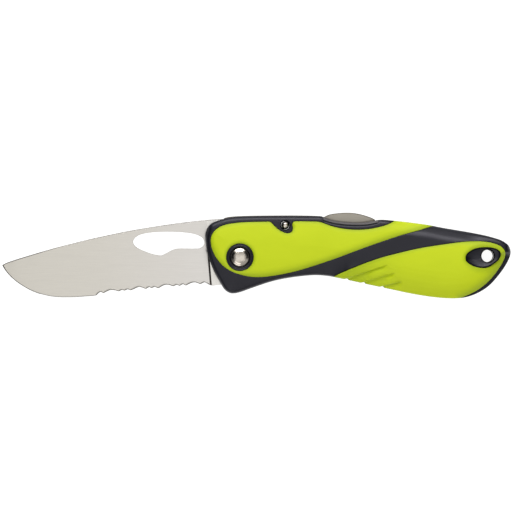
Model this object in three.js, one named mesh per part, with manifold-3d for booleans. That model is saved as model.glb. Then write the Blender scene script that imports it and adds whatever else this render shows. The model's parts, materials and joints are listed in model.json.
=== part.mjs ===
// Folding rigging knife, open, lying on its side. Millimetres, +Z up.
// X runs along the knife (blade towards -X, tail towards +X), Y across it (spine +Y, cutting
// edge -Y), Z through its thickness. The outlines below are written from the blade pivot; the
// group is shifted so that the origin is the middle of the base that the knife lies on.
import * as THREE from 'three';
import { mergeVertices } from 'three/addons/utils/BufferGeometryUtils.js';
import Module from 'manifold-3d';

// ---- driving dimensions -------------------------------------------------------------------
const ORIGIN_X = 6.08;          // middle of the knife's length, from the pivot
const ORIGIN_Y = 0.635;         // middle of its height, from the pivot
const BLADE_T = 2.6;            // blade thickness
const EDGE_T = 0.5;             // thickness left at the cutting edge
const WASHER_IN = 1.35;         // washer faces, from the middle plane
const WASHER_OUT = 1.65;
const LINER_IN = 1.7;           // liner faces
const LINER_OUT = 2.9;
const SHELL_IN = 2.95;          // inner face of the scales
const SHELL_OUT = 7.5;          // outer face of the navy scale
const GRIP_OUT = 7.8;           // outer face of the soft panels: half the thickness
const GRIP_FLOOR = 5.0;         // floor of the panel recess
const GRIP_GAP = 0.15;          // clearance round and under a panel
const EDGE_ROUND = 2.1;         // rounding of the scale edges, inwards
const EDGE_ROUND_Z = 2.5;       // rounding of the scale edges, through the thickness
const LINER_INSET = 0.4;        // liners stand back from the scales by this
const SPACER_HALF = 1.62;       // half thickness of the back spacer
const BAR_HALF = 1.3;           // half thickness of the lock bar
const PIVOT_BOSS_R = 5.12;      // navy ring round the pivot
const PIVOT_WELL_R = 3.95;      // well inside the ring
const PIVOT_HEAD_R = 3.72;
const PIVOT_SHANK_R = 2.4;
const PIVOT_SCREW_R = 1.5;
const PIVOT_HEAD_TOP = 7.45;
const PIVOT_FLOOR = 4.2;        // floor of the well, which the head clamps
const TANG_R = 11.25;
const PIN_X = 16.95, PIN_Y = 11.96;   // lock bar pin
const PIN_R = 1.5, PIN_TIP_R = 1.1, PIN_TOP = 6.7;
const PIN_WELL_R = 1.6;
const LANYARD_X = 92.63, LANYARD_Y = 0.49, LANYARD_R = 2.33;
const DISH_FLOOR = 5.6;         // floor of the egg-shaped dish round the lanyard hole
const RIVETS = [['rivet_mid', 57.6, 9.75], ['rivet_rear_upper', 77.2, 6.3], ['rivet_rear_lower', 92.6, -6.7]];
const RIVET_R = 1.25, RIVET_HEAD_R = 2.0, RIVET_TOP = 3.7;
const ROUND = 32;                // sides of the round pieces
const LEAF_T = 0.7;             // leaf spring thickness
const LEAF_HALF = 1.2;          // half its width

// ---- outlines, anticlockwise or as noted, from the pivot -----------------------------------
const HANDLE = [
  [-12.75, 9.64], [-12.04, 11.17], [-10.65, 12.6], [-8.81, 13.46], [-6.75, 14.17],
  [-4.5, 14.7], [-1.5, 15.07], [2.25, 15.28], [6.75, 15.38], [12, 15.39], [18, 15.43],
  [24, 15.39], [27.75, 15.32], [30.38, 15.11], [33, 14.62], [36, 13.91], [39, 13.31],
  [42, 13.01], [45, 12.97], [47.62, 13.16], [49.88, 13.61], [51.75, 13.93], [53.62, 13.99],
  [57, 13.72], [61.5, 13.27], [66, 12.71], [70.5, 12.07], [75, 11.17], [79.5, 10.39],
  [84, 9.64], [88.5, 8.81], [92.25, 7.99], [95.25, 7.16], [97.5, 6.41], [99.38, 5.32],
  [100.73, 3.94], [101.29, 2.14], [101.06, 0.45], [100.2, -1.61], [98.89, -3.86],
  [97.27, -6.11], [95.48, -8.32], [93.3, -10.57], [90.75, -12.41], [87.75, -13.95],
  [84.38, -15], [81, -15.38], [77.25, -15.34], [72.75, -14.96], [67.5, -14.21],
  [62.25, -13.24], [57, -12.11], [51.75, -10.99], [46.5, -9.86], [41.25, -8.7], [37.5, -7.91],
  [33.75, -7.16], [30.75, -6.82], [27.75, -6.73], [24, -6.99], [19.5, -7.54], [15, -8.32],
  [11.25, -9.26], [7.5, -10.46], [3.75, -11.78], [0.75, -12.86], [-1.5, -13.46],
  [-3.38, -13.5], [-4.88, -12.82], [-6.19, -11.55], [-7.5, -9.07], [-8.89, -6.3],
  [-10.2, -3.68], [-11.4, -0.9], [-12.19, 1.57], [-12.71, 4.2], [-13.05, 6.82], [-13.01, 8.32]
];
const FRONT_LOW = [
  [73.5, 12.6], [72, 12], [70.69, 11.59], [67.69, 10.61], [63.19, 9.15], [58.69, 7.72],
  [54.19, 6.22], [49.69, 4.65], [45.19, 3.04], [40.69, 1.35], [36.19, -0.34], [31.69, -1.91],
  [27.19, -3.38], [22.69, -4.76], [18.19, -5.89], [13.69, -6.75], [9.75, -7.31], [6.38, -7.46],
  [3.38, -7.24], [0.38, -6.56], [-2.62, -5.55], [-5.06, -4.2], [-6.94, -2.59], [-8.55, -0.68],
  [-9.79, 1.5], [-10.65, 3.82], [-10.95, 6.07], [-10.72, 7.65], [-10.05, 9.07], [-8.81, 10.5],
  [-6.94, 11.59], [-4.31, 12.38], [-0.75, 12.9], [3.75, 13.16], [8.25, 13.26], [10.8, 13.29]
];
const FRONT_LOBE = [
  [11.74, 12.94], [12.68, 11.92], [13.76, 10.88], [15.15, 9.86], [16.57, 9.19], [17.85, 8.96],
  [18.98, 9.22], [19.61, 9.97], [19.76, 10.95], [19.61, 11.92], [19.73, 12.86], [20.25, 13.35]
];
const FRONT_TOP = [
  [21.38, 13.44], [24.19, 13.41], [27.38, 13.35], [29.25, 13.27], [30.75, 12.9],
  [32.44, 12.26], [34.69, 11.51], [37.69, 10.8], [40.69, 10.42], [43.69, 10.26],
  [46.69, 10.39], [49.69, 10.76], [52.69, 11.44], [54.94, 12.15], [56.44, 12.82],
  [57.94, 13.72], [58.88, 14.62]
];
const REAR = [
  [33, -8.36], [35.18, -7.28], [37.24, -6.19], [39.98, -4.99], [42.68, -3.86], [45.56, -2.7],
  [48.56, -1.57], [51.94, -0.41], [55.69, 0.67], [60.19, 1.8], [64.88, 2.89], [70.88, 4.01],
  [76.88, 4.91], [81.38, 5.51], [85.12, 5.85], [88.69, 5.96], [91.88, 5.74], [94.69, 5.21],
  [96.86, 4.42], [98.32, 3.3], [99.11, 1.84], [99.19, 0.52], [98.85, -0.68], [98.1, -2.25],
  [96.94, -4.12], [95.55, -6.11], [93.75, -8.29], [91.73, -10.2], [89.48, -11.93],
  [86.62, -13.57], [83.81, -14.78], [81, -15.98]
];
const SPINE = [
  [-89.14, -3], [-87.56, -2.14], [-84.56, -1.09], [-80.06, 0.3], [-74.06, 2.1], [-68.06, 3.79],
  [-62.06, 5.29], [-56.06, 6.79], [-50.06, 8.1], [-44.06, 9.36], [-38.06, 10.46],
  [-32.06, 11.44], [-26.06, 12.34], [-20.06, 13.12], [-14.06, 13.8], [-9.75, 14.16],
  [-6.41, 14.32]
];
const BELLY = [
  [-89.14, -3.07], [-88.31, -4.5], [-87.19, -5.96], [-85.69, -7.57], [-83.81, -9.15],
  [-81.56, -10.69], [-78.94, -12.19], [-76.12, -13.39], [-73.12, -14.21], [-70.12, -14.78],
  [-66.75, -15], [-62.25, -14.98], [-58.5, -14.74], [-55.5, -14.53], [-54.3, -14.44]
];
const TEETH = [
  [-53.81, -14.21], [-53.14, -13.54], [-52.43, -13.07], [-51.86, -13.11], [-51.26, -13.46],
  [-50.51, -13.12], [-49.69, -12.71], [-48.86, -12.38], [-47.81, -12.28], [-46.76, -12.41],
  [-45.97, -12.64], [-45.3, -12.77], [-44.74, -12.45], [-44.1, -12.28], [-43.35, -12.51],
  [-42.64, -12.26], [-42, -12.04], [-41.18, -12.38], [-40.31, -12.15], [-39.56, -11.85],
  [-38.74, -11.44], [-37.76, -11.16], [-36.86, -11.32], [-36.11, -11.59], [-35.36, -11.87],
  [-34.65, -11.51], [-33.94, -11.23], [-33.15, -11.57], [-32.47, -11.29], [-31.88, -11.14],
  [-30.64, -11.61], [-29.81, -11.18], [-29.06, -10.76], [-28.24, -10.41], [-27.45, -10.31],
  [-26.44, -10.43], [-25.69, -10.69], [-24.97, -10.88], [-24.26, -10.57], [-23.55, -10.39],
  [-22.65, -10.71], [-21.97, -10.39], [-21.3, -10.11], [-20.32, -10.59], [-19.61, -10.28],
  [-18.86, -9.9], [-18, -9.58], [-17.03, -9.43], [-16.05, -9.6], [-14.93, -10.05],
  [-14.14, -9.75], [-13.31, -9.41], [-12.53, -9.73], [-11.78, -10.18], [-11.18, -10.46]
];
const RICASSO = [
  [-10.12, -10.71], [-8.62, -10.46], [-6.9, -10.39]
];
const THUMB = [
  [-40.09, 5.7], [-39.53, 7.05], [-38.06, 8.17], [-35.81, 8.89], [-33, 9.3], [-29.25, 9.52],
  [-25.12, 9.54], [-21.38, 9.34], [-18, 8.89], [-15.56, 8.17], [-13.99, 7.09], [-13.35, 5.62],
  [-13.76, 4.31], [-14.89, 3.45], [-16.5, 3.21], [-19.5, 3.24], [-22.5, 3.26], [-24.38, 3.04],
  [-26.06, 2.36], [-27.64, 1.46], [-29.06, 0.79], [-30.56, 0.75], [-33, 1.24], [-35.62, 2.14],
  [-37.88, 3.19], [-39.45, 4.35]
];
const BAR_TOP = [
  [-5.89, 14.74], [-4.5, 15.04], [-1.5, 15.32], [2.25, 15.47], [8.25, 15.58], [18.75, 15.64],
  [24.75, 15.58], [29.25, 15.47], [31.12, 15.36], [32.44, 15.52], [33.94, 15.97],
  [36.94, 16.5], [39.94, 16.65], [42.94, 16.48], [45.94, 15.88], [48.94, 14.89],
  [50.59, 14.06]
];
const DISH = [
  [84.23, -0.49], [84.49, 0.86], [85.5, 1.95], [87.11, 2.92], [89.06, 3.49], [91.12, 3.73],
  [93.38, 3.67], [95.44, 3.34], [97.05, 2.62], [97.84, 1.5], [97.73, 0.22], [96.82, -1.16],
  [95.32, -2.32], [93.45, -3.41], [91.31, -3.98], [89.06, -3.86], [87, -3.26], [85.35, -2.29],
  [84.45, -1.39]
];

const REAR_OUT = [[75, -17.6], [57, -14.6], [40, -11.4]];
// tail of the lock bar and its underside, from the tail end forward to the tooth
const BAR_LOW = [
  [50.5, 12.9], [49.4, 11.5], [45, 10.6], [38, 10.3], [30, 10.2], [24, 9.9], [20.3, 9.35],
  [17, 9.15], [14.2, 9.45], [11.2, 10.05], [7.2, 10.9], [4.4, 11.9], [2.4, 12.4], [-3.2, 12.4],
  [-3.3, 11.05], [-6.05, 11.05]
];
// back spacer: the edge that faces the folded blade, from the top front round to the tip
const SPACER_IN = [
  [53.2, 13.1], [52.6, 8.0], [52.6, 7.6], [58.9, 7.6], [58.9, 6.5], [52.6, 6.5], [52.8, 5.5],
  [57, 5.2], [62, 5.0], [67.5, 4.2], [72.5, 2.6], [76.5, 0.8], [80.2, -1.2], [83.2, -3.6],
  [85.6, -6.4], [87.5, -9.4], [88.9, -12.4]
];
const LEAF = [[58.7, 7.05], [53, 7.05], [47, 7.5], [40, 8.5], [34, 9.3], [30.5, 9.55], [28.5, 9.45], [27.2, 9.1]];

// ---- helpers --------------------------------------------------------------------------------
const wasm = await Module();
wasm.setup();

const v2 = (p) => new THREE.Vector2(p[0], p[1]);

// smooth curve through points, `step` points per span
function smooth(pts, step, closed = false) {
  const ext = closed ? [pts[pts.length - 1], ...pts, pts[0], pts[1]] : pts;
  const curve = new THREE.SplineCurve(ext.map(v2));
  const first = closed ? 1 : 0;
  const spans = closed ? pts.length : pts.length - 1;
  const out = [];
  for (let k = 0; k < spans; k++) {
    for (let j = 0; j < step; j++) {
      const p = curve.getPoint((first + k + j / step) / (ext.length - 1));
      out.push([p.x, p.y]);
    }
  }
  if (!closed) out.push(pts[pts.length - 1]);
  return out;
}

function area(pts) {
  let a = 0;
  for (let i = 0; i < pts.length; i++) {
    const p = pts[i], q = pts[(i + 1) % pts.length];
    a += p[0] * q[1] - q[0] * p[1];
  }
  return a / 2;
}

// closed outline moved outwards by d
function offset(pts, d) {
  const s = area(pts) > 0 ? 1 : -1;
  return pts.map((p, i) => {
    const a = pts[(i + pts.length - 1) % pts.length], b = pts[(i + 1) % pts.length];
    const t1 = v2(p).sub(v2(a)).normalize(), t2 = v2(b).sub(v2(p)).normalize();
    const t = t1.add(t2).normalize();
    return [p[0] + s * t.y * d, p[1] - s * t.x * d];
  });
}

const circle = (x, y, r, n) => Array.from({ length: n }, (_, i) => {
  const a = (2 * Math.PI * (i + 0.5)) / n;
  return [x + r * Math.cos(a), y + r * Math.sin(a)];
});

function arc(r, a0, a1, n) {
  return Array.from({ length: n + 1 }, (_, i) => {
    const a = THREE.MathUtils.degToRad(a0 + ((a1 - a0) * i) / n);
    return [r * Math.cos(a), r * Math.sin(a)];
  });
}

// flat plate between two heights, with holes bored through it
function plate(outline, z0, z1, holes = []) {
  const g = new THREE.ExtrudeGeometry(new THREE.Shape(outline.map(v2)), { depth: z1 - z0, bevelEnabled: false });
  g.translate(0, 0, z0);
  return holes.length ? geometryOf(cut(solid(g), ...holes.map((h) => plate(h, z0 - 1, z1 + 1)))) : g;
}

// the scale's outer form: the handle outline with a rounded rim, cut off at the inner face
function rounded(outline, top) {
  const shape = new THREE.Shape(outline.map(v2));
  const g = new THREE.ExtrudeGeometry(shape, {
    depth: 2, bevelEnabled: true, bevelThickness: EDGE_ROUND_Z, bevelSize: EDGE_ROUND,
    bevelOffset: -EDGE_ROUND, bevelSegments: 3,
  });
  g.translate(0, 0, top - 2 - EDGE_ROUND_Z);
  return g;
}

// turned piece about the Z axis through (x, y); profile is [radius, z] from axis to axis
function turned(profile, x, y, n) {
  const g = new THREE.LatheGeometry(profile.map(v2), n, Math.PI / n);
  g.rotateX(Math.PI / 2);
  g.translate(x, y, 0);
  return g;
}

function solid(geometry) {
  const g = geometry.clone();
  g.deleteAttribute('normal');
  g.deleteAttribute('uv');
  const m = mergeVertices(g, 1e-5);
  const tri = [];
  const idx = m.index.array;
  for (let i = 0; i < idx.length; i += 3) {
    const [a, b, c] = [idx[i], idx[i + 1], idx[i + 2]];
    if (a !== b && b !== c && c !== a) tri.push(a, b, c);
  }
  return new wasm.Manifold(new wasm.Mesh({
    numProp: 3, vertProperties: new Float32Array(m.attributes.position.array), triVerts: new Uint32Array(tri),
  }));
}

function geometryOf(manifold) {
  const mesh = manifold.getMesh();
  const g = new THREE.BufferGeometry();
  g.setAttribute('position', new THREE.BufferAttribute(new Float32Array(mesh.vertProperties), 3));
  g.setIndex(new THREE.BufferAttribute(new Uint32Array(mesh.triVerts), 1));
  return g;
}

const cut = (a, ...tools) => tools.reduce((m, t) => m.subtract(solid(t)), a);

function box(x0, x1, y0, y1, z0, z1) {
  const g = new THREE.BoxGeometry(x1 - x0, y1 - y0, z1 - z0);
  g.translate((x0 + x1) / 2, (y0 + y1) / 2, (z0 + z1) / 2);
  return g;
}

// the same piece on the far side of the middle plane
function farSide(geometry) {
  const g = geometry.clone();
  g.scale(1, 1, -1);
  const idx = g.index ? Array.from(g.index.array) : Array.from({ length: g.attributes.position.count }, (_, i) => i);
  for (let i = 0; i < idx.length; i += 3) [idx[i], idx[i + 1]] = [idx[i + 1], idx[i]];
  g.setIndex(idx);
  return g;
}

const METAL = { blade: [0xd2cdc6, 0.35], bar: [0xa0988a, 0.4], dome: [0xd9d9dc, 0.15], liner: [0xb4b4b4, 0.4], spring: [0x9a9a9c, 0.35], washer: [0xb08d57, 0.4] };
const knife = new THREE.Group();
knife.position.set(-ORIGIN_X, -ORIGIN_Y, GRIP_OUT);

function add(name, geometry, colour, roughness, metalness) {
  const g = geometry.clone();
  g.deleteAttribute('uv');
  const mesh = new THREE.Mesh(g, new THREE.MeshStandardMaterial({ color: colour, roughness, metalness }));
  mesh.name = name;
  knife.add(mesh);
}
const steel = (name, geometry, kind) => add(name, geometry, METAL[kind][0], METAL[kind][1], 1);
const navy = (name, geometry) => add(name, geometry, 0x32323a, 0.45, 0);
const lime = (name, geometry) => add(name, geometry, 0xcbdb2a, 0.6, 0);

// ---- blade ----------------------------------------------------------------------------------
const tang = [
  [-6.41, 9.75], [-3.02, 9.75], ...arc(TANG_R, 105.6, -49.4, 30), [4.65, -9.2], [4.6, -10.27],
  ...arc(TANG_R, -70, -104, 7),
];
const bladeOutline = [
  ...smooth(SPINE, 2), ...tang, ...RICASSO.slice().reverse(), ...TEETH.slice().reverse(),
  ...smooth(BELLY, 2).slice(1).reverse(),
];
let blade = solid(plate(bladeOutline, -BLADE_T / 2, BLADE_T / 2,
  [smooth(THUMB, 2, true), circle(0, 0, PIVOT_SHANK_R + 0.08, ROUND)]));
// ground faces: both sides taper from below the spine to the edge
const wedge = new THREE.Shape([[0, 0], [-20, 0], [-20, -(BLADE_T - EDGE_T) / 2 * 20 / 16.2]].map(v2));
for (const side of [1, -1]) {
  const g = new THREE.ExtrudeGeometry(wedge, { depth: 80, bevelEnabled: false });
  // the section's length lies along -Y and its depth along -Z, and it runs along X
  g.applyMatrix4(new THREE.Matrix4().set(0, 0, 1, -92, 1, 0, 0, 0, 0, 1, 0, 0, 0, 0, 0, 1));
  g.rotateZ(0.045);
  g.translate(0, 2.6, BLADE_T / 2);
  blade = cut(blade, side > 0 ? g : farSide(g));
}
steel('blade', geometryOf(blade), 'blade');

// ---- lock bar, its pin and spring -------------------------------------------------------------
const barOutline = [...smooth(BAR_TOP, 1).slice(1), ...BAR_LOW, [-6.05, 14.68]];
steel('lock_bar', plate(barOutline, -BAR_HALF, BAR_HALF, [circle(PIN_X, PIN_Y, PIN_R + 0.1, 24)]), 'bar');
steel('lock_pin', turned([
  [0, -PIN_TOP], [0.8, -PIN_TOP + 0.25], [PIN_TIP_R, -PIN_TOP + 0.7], [PIN_TIP_R, -4.2], [PIN_R, -4.2],
  [PIN_R, 4.2], [PIN_TIP_R, 4.2], [PIN_TIP_R, PIN_TOP - 0.7], [0.8, PIN_TOP - 0.25], [0, PIN_TOP],
], PIN_X, PIN_Y, 24), 'dome');
{
  const mid = smooth(LEAF, 3);
  const up = [], down = [];
  mid.forEach((p, i) => {
    const a = mid[Math.max(0, i - 1)], b = mid[Math.min(mid.length - 1, i + 1)];
    const t = v2(b).sub(v2(a)).normalize();
    up.push([p[0] + t.y * LEAF_T / 2, p[1] - t.x * LEAF_T / 2]);
    down.push([p[0] - t.y * LEAF_T / 2, p[1] + t.x * LEAF_T / 2]);
  });
  steel('lock_spring', plate([...up, ...down.reverse()], -LEAF_HALF, LEAF_HALF), 'spring');
}

// ---- pivot --------------------------------------------------------------------------------------
steel('pivot_barrel', turned([
  [PIVOT_SCREW_R + 0.1, -2.85], [PIVOT_SHANK_R, -2.85], [PIVOT_SHANK_R, PIVOT_FLOOR + 0.05],
  [PIVOT_HEAD_R, PIVOT_FLOOR + 0.05], [PIVOT_HEAD_R, 6.55], [3.3, 6.93],
  [2.2, 7.28], [0, PIVOT_HEAD_TOP], [0, 5.2], [PIVOT_SCREW_R + 0.1, 5.2], [PIVOT_SCREW_R + 0.1, -2.85],
], 0, 0, ROUND), 'dome');
steel('pivot_screw', turned([
  [0, -PIVOT_HEAD_TOP], [2.2, -7.28], [3.3, -6.93], [PIVOT_HEAD_R, -6.55],
  [PIVOT_HEAD_R, -PIVOT_FLOOR - 0.05], [PIVOT_SHANK_R, -PIVOT_FLOOR - 0.05], [PIVOT_SHANK_R, -2.95],
  [PIVOT_SCREW_R, -2.95], [PIVOT_SCREW_R, 4.8], [0, 4.8],
], 0, 0, ROUND), 'dome');
const washer = plate(circle(0, 0, 6.2, ROUND), WASHER_IN, WASHER_OUT, [circle(0, 0, PIVOT_SHANK_R + 0.1, ROUND)]);
steel('washer_top', washer, 'washer');
steel('washer_bottom', farSide(washer), 'washer');

// ---- liners, spacer and rivets ----------------------------------------------------------------------
const inner = offset(smooth(HANDLE, 1, true), -LINER_INSET);
const liner = plate(inner, LINER_IN, LINER_OUT, [
  circle(0, 0, PIVOT_SHANK_R + 0.1, ROUND), circle(PIN_X, PIN_Y, PIN_R + 0.1, 24),
  circle(LANYARD_X, LANYARD_Y, LANYARD_R + 0.12, 24),
  ...RIVETS.map(([, x, y]) => circle(x, y, RIVET_R + 0.1, 16)),
]);
steel('liner_top', liner, 'liner');
steel('liner_bottom', farSide(liner), 'liner');
{
  // the outer run of the spacer follows the liners round the tail
  const run = inner.filter(([x, y]) => (x > 54 && y > -2) || (x > 89.2));
  const start = run.findIndex((p, i) => i === 0 || Math.hypot(p[0] - run[i - 1][0], p[1] - run[i - 1][1]) > 12);
  const ordered = [...run.slice(start), ...run.slice(0, start)];
  // the handle outline runs clockwise from the front; the inner edge goes back from tip to front
  const outline = [...ordered, ...SPACER_IN.slice().reverse()];
  navy('back_spacer', plate(outline, -SPACER_HALF, SPACER_HALF, [
    circle(LANYARD_X, LANYARD_Y, LANYARD_R + 0.12, 24),
    ...RIVETS.map(([, x, y]) => circle(x, y, RIVET_R + 0.1, 16)),
  ]));
}
for (const [name, x, y] of RIVETS) {
  steel(name, turned([
    [0, -RIVET_TOP], [1.4, -RIVET_TOP], [RIVET_HEAD_R, -RIVET_TOP + 0.4], [RIVET_HEAD_R, -LINER_OUT - 0.05],
    [RIVET_R, -LINER_OUT - 0.05], [RIVET_R, LINER_OUT + 0.05], [RIVET_HEAD_R, LINER_OUT + 0.05],
    [RIVET_HEAD_R, RIVET_TOP - 0.4], [1.4, RIVET_TOP], [0, RIVET_TOP],
  ], x, y, 16), 'liner');
}

// ---- scales and soft panels -----------------------------------------------------------------------
const handle = smooth(HANDLE, 1, true);
const front = [...smooth(FRONT_LOW, 1), ...smooth(FRONT_LOBE, 1), ...smooth(FRONT_TOP, 1)];
const rear = [...smooth(REAR, 1), ...REAR_OUT];
const dish = smooth(DISH, 1, true);
const below = box(-40, 130, -40, 40, -20, SHELL_IN);

const frontTool = plate(offset(front, GRIP_GAP), GRIP_FLOOR, 12);
const rearTool = plate(offset(rear, GRIP_GAP), GRIP_FLOOR, 12, [offset(dish, -GRIP_GAP)]);
const boss = plate(circle(0, 0, PIVOT_BOSS_R, ROUND), 0, 12);

let shell = cut(solid(rounded(handle, SHELL_OUT)), below);
shell = shell.subtract(cut(solid(frontTool), boss));
shell = cut(shell, rearTool,
  plate(dish, DISH_FLOOR, 12),
  plate(circle(0, 0, PIVOT_WELL_R, ROUND), PIVOT_FLOOR, 12),
  plate(circle(0, 0, PIVOT_SHANK_R + 0.1, ROUND), 0, 12),
  plate(circle(PIN_X, PIN_Y, PIN_WELL_R, 24), 0, 12),
  plate(circle(LANYARD_X, LANYARD_Y, LANYARD_R, 24), 0, 12),
  ...RIVETS.map(([, x, y]) => plate(circle(x, y, RIVET_HEAD_R + 0.25, 16), 2, RIVET_TOP + 0.3)));
const shellGeometry = geometryOf(shell);
navy('shell_top', shellGeometry);
navy('shell_bottom', farSide(shellGeometry));

const outer = solid(rounded(handle, GRIP_OUT));
const gripFront = geometryOf(cut(outer.intersect(solid(plate(front, GRIP_FLOOR + GRIP_GAP, 12))),
  plate(circle(0, 0, PIVOT_BOSS_R + GRIP_GAP, ROUND), 0, 12)));
const gripRear = geometryOf(outer.intersect(solid(plate(rear, GRIP_FLOOR + GRIP_GAP, 12, [dish]))));
lime('grip_front_top', gripFront);
lime('grip_front_bottom', farSide(gripFront));
lime('grip_rear_top', gripRear);
lime('grip_rear_bottom', farSide(gripRear));

export default knife;
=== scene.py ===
# Looks of the folding rigging knife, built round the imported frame.
import json
import math

import bpy
import numpy as np
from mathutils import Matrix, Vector
from mathutils.geometry import delaunay_2d_cdt


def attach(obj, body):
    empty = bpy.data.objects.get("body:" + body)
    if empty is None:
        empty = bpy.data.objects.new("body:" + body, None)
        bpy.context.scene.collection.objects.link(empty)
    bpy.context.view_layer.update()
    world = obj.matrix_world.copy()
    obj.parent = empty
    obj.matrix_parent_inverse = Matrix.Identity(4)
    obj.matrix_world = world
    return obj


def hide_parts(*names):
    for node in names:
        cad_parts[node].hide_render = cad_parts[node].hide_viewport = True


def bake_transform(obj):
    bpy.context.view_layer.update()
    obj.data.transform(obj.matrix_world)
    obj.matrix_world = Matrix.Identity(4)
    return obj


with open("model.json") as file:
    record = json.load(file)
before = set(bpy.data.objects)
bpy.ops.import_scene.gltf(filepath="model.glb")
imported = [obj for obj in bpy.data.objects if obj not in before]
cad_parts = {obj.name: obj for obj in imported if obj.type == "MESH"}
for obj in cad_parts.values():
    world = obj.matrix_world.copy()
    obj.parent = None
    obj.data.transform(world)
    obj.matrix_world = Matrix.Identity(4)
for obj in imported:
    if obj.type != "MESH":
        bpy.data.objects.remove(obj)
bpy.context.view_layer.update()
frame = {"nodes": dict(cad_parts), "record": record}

JOINTS = {j["name"]: j for j in frame["record"]["behaviour"]["joints"]}
PIVOT = np.array(JOINTS["blade_pivot"]["pos_m"])      # blade pivot on the middle plane, metres
HALF = 7.8                                            # half thickness, mm

# ---- outlines, millimetres from the blade pivot ------------------------------------------------
HANDLE = [
  [-12.75, 9.64], [-12.04, 11.17], [-10.65, 12.6], [-8.81, 13.46], [-6.75, 14.17],
  [-4.5, 14.7], [-1.5, 15.07], [2.25, 15.28], [6.75, 15.38], [12, 15.39], [18, 15.43],
  [24, 15.39], [27.75, 15.32], [30.38, 15.11], [33, 14.62], [36, 13.91], [39, 13.31],
  [42, 13.01], [45, 12.97], [47.62, 13.16], [49.88, 13.61], [51.75, 13.93], [53.62, 13.99],
  [57, 13.72], [61.5, 13.27], [66, 12.71], [70.5, 12.07], [75, 11.17], [79.5, 10.39],
  [84, 9.64], [88.5, 8.81], [92.25, 7.99], [95.25, 7.16], [97.5, 6.41], [99.38, 5.32],
  [100.73, 3.94], [101.29, 2.14], [101.06, 0.45], [100.2, -1.61], [98.89, -3.86],
  [97.27, -6.11], [95.48, -8.32], [93.3, -10.57], [90.75, -12.41], [87.75, -13.95],
  [84.38, -15], [81, -15.38], [77.25, -15.34], [72.75, -14.96], [67.5, -14.21],
  [62.25, -13.24], [57, -12.11], [51.75, -10.99], [46.5, -9.86], [41.25, -8.7], [37.5, -7.91],
  [33.75, -7.16], [30.75, -6.82], [27.75, -6.73], [24, -6.99], [19.5, -7.54], [15, -8.32],
  [11.25, -9.26], [7.5, -10.46], [3.75, -11.78], [0.75, -12.86], [-1.5, -13.46],
  [-3.38, -13.5], [-4.88, -12.82], [-6.19, -11.55], [-7.5, -9.07], [-8.89, -6.3],
  [-10.2, -3.68], [-11.4, -0.9], [-12.19, 1.57], [-12.71, 4.2], [-13.05, 6.82], [-13.01, 8.32]
]
FRONT_LOW = [
  [73.5, 12.6], [72, 12], [70.69, 11.59], [67.69, 10.61], [63.19, 9.15], [58.69, 7.72],
  [54.19, 6.22], [49.69, 4.65], [45.19, 3.04], [40.69, 1.35], [36.19, -0.34], [31.69, -1.91],
  [27.19, -3.38], [22.69, -4.76], [18.19, -5.89], [13.69, -6.75], [9.75, -7.31], [6.38, -7.46],
  [3.38, -7.24], [0.38, -6.56], [-2.62, -5.55], [-5.06, -4.2], [-6.94, -2.59], [-8.55, -0.68],
  [-9.79, 1.5], [-10.65, 3.82], [-10.95, 6.07], [-10.72, 7.65], [-10.05, 9.07], [-8.81, 10.5],
  [-6.94, 11.59], [-4.31, 12.38], [-0.75, 12.9], [3.75, 13.16], [8.25, 13.26], [10.8, 13.29]
]
FRONT_LOBE = [
  [11.74, 12.94], [12.68, 11.92], [13.76, 10.88], [15.15, 9.86], [16.57, 9.19], [17.85, 8.96],
  [18.98, 9.22], [19.61, 9.97], [19.76, 10.95], [19.61, 11.92], [19.73, 12.86], [20.25, 13.35]
]
FRONT_TOP = [
  [21.38, 13.44], [24.19, 13.41], [27.38, 13.35], [29.25, 13.27], [30.75, 12.9],
  [32.44, 12.26], [34.69, 11.51], [37.69, 10.8], [40.69, 10.42], [43.69, 10.26],
  [46.69, 10.39], [49.69, 10.76], [52.69, 11.44], [54.94, 12.15], [56.44, 12.82],
  [57.94, 13.72], [58.88, 14.62]
]
REAR = [
  [33, -8.36], [35.18, -7.28], [37.24, -6.19], [39.98, -4.99], [42.68, -3.86], [45.56, -2.7],
  [48.56, -1.57], [51.94, -0.41], [55.69, 0.67], [60.19, 1.8], [64.88, 2.89], [70.88, 4.01],
  [76.88, 4.91], [81.38, 5.51], [85.12, 5.85], [88.69, 5.96], [91.88, 5.74], [94.69, 5.21],
  [96.86, 4.42], [98.32, 3.3], [99.11, 1.84], [99.19, 0.52], [98.85, -0.68], [98.1, -2.25],
  [96.94, -4.12], [95.55, -6.11], [93.75, -8.29], [91.73, -10.2], [89.48, -11.93],
  [86.62, -13.57], [83.81, -14.78], [81, -15.98]
]
SPINE = [
  [-89.14, -3], [-87.56, -2.14], [-84.56, -1.09], [-80.06, 0.3], [-74.06, 2.1], [-68.06, 3.79],
  [-62.06, 5.29], [-56.06, 6.79], [-50.06, 8.1], [-44.06, 9.36], [-38.06, 10.46],
  [-32.06, 11.44], [-26.06, 12.34], [-20.06, 13.12], [-14.06, 13.8], [-9.75, 14.16],
  [-6.41, 14.32]
]
BELLY = [
  [-89.14, -3.07], [-88.31, -4.5], [-87.19, -5.96], [-85.69, -7.57], [-83.81, -9.15],
  [-81.56, -10.69], [-78.94, -12.19], [-76.12, -13.39], [-73.12, -14.21], [-70.12, -14.78],
  [-66.75, -15], [-62.25, -14.98], [-58.5, -14.74], [-55.5, -14.53], [-54.3, -14.44]
]
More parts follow.
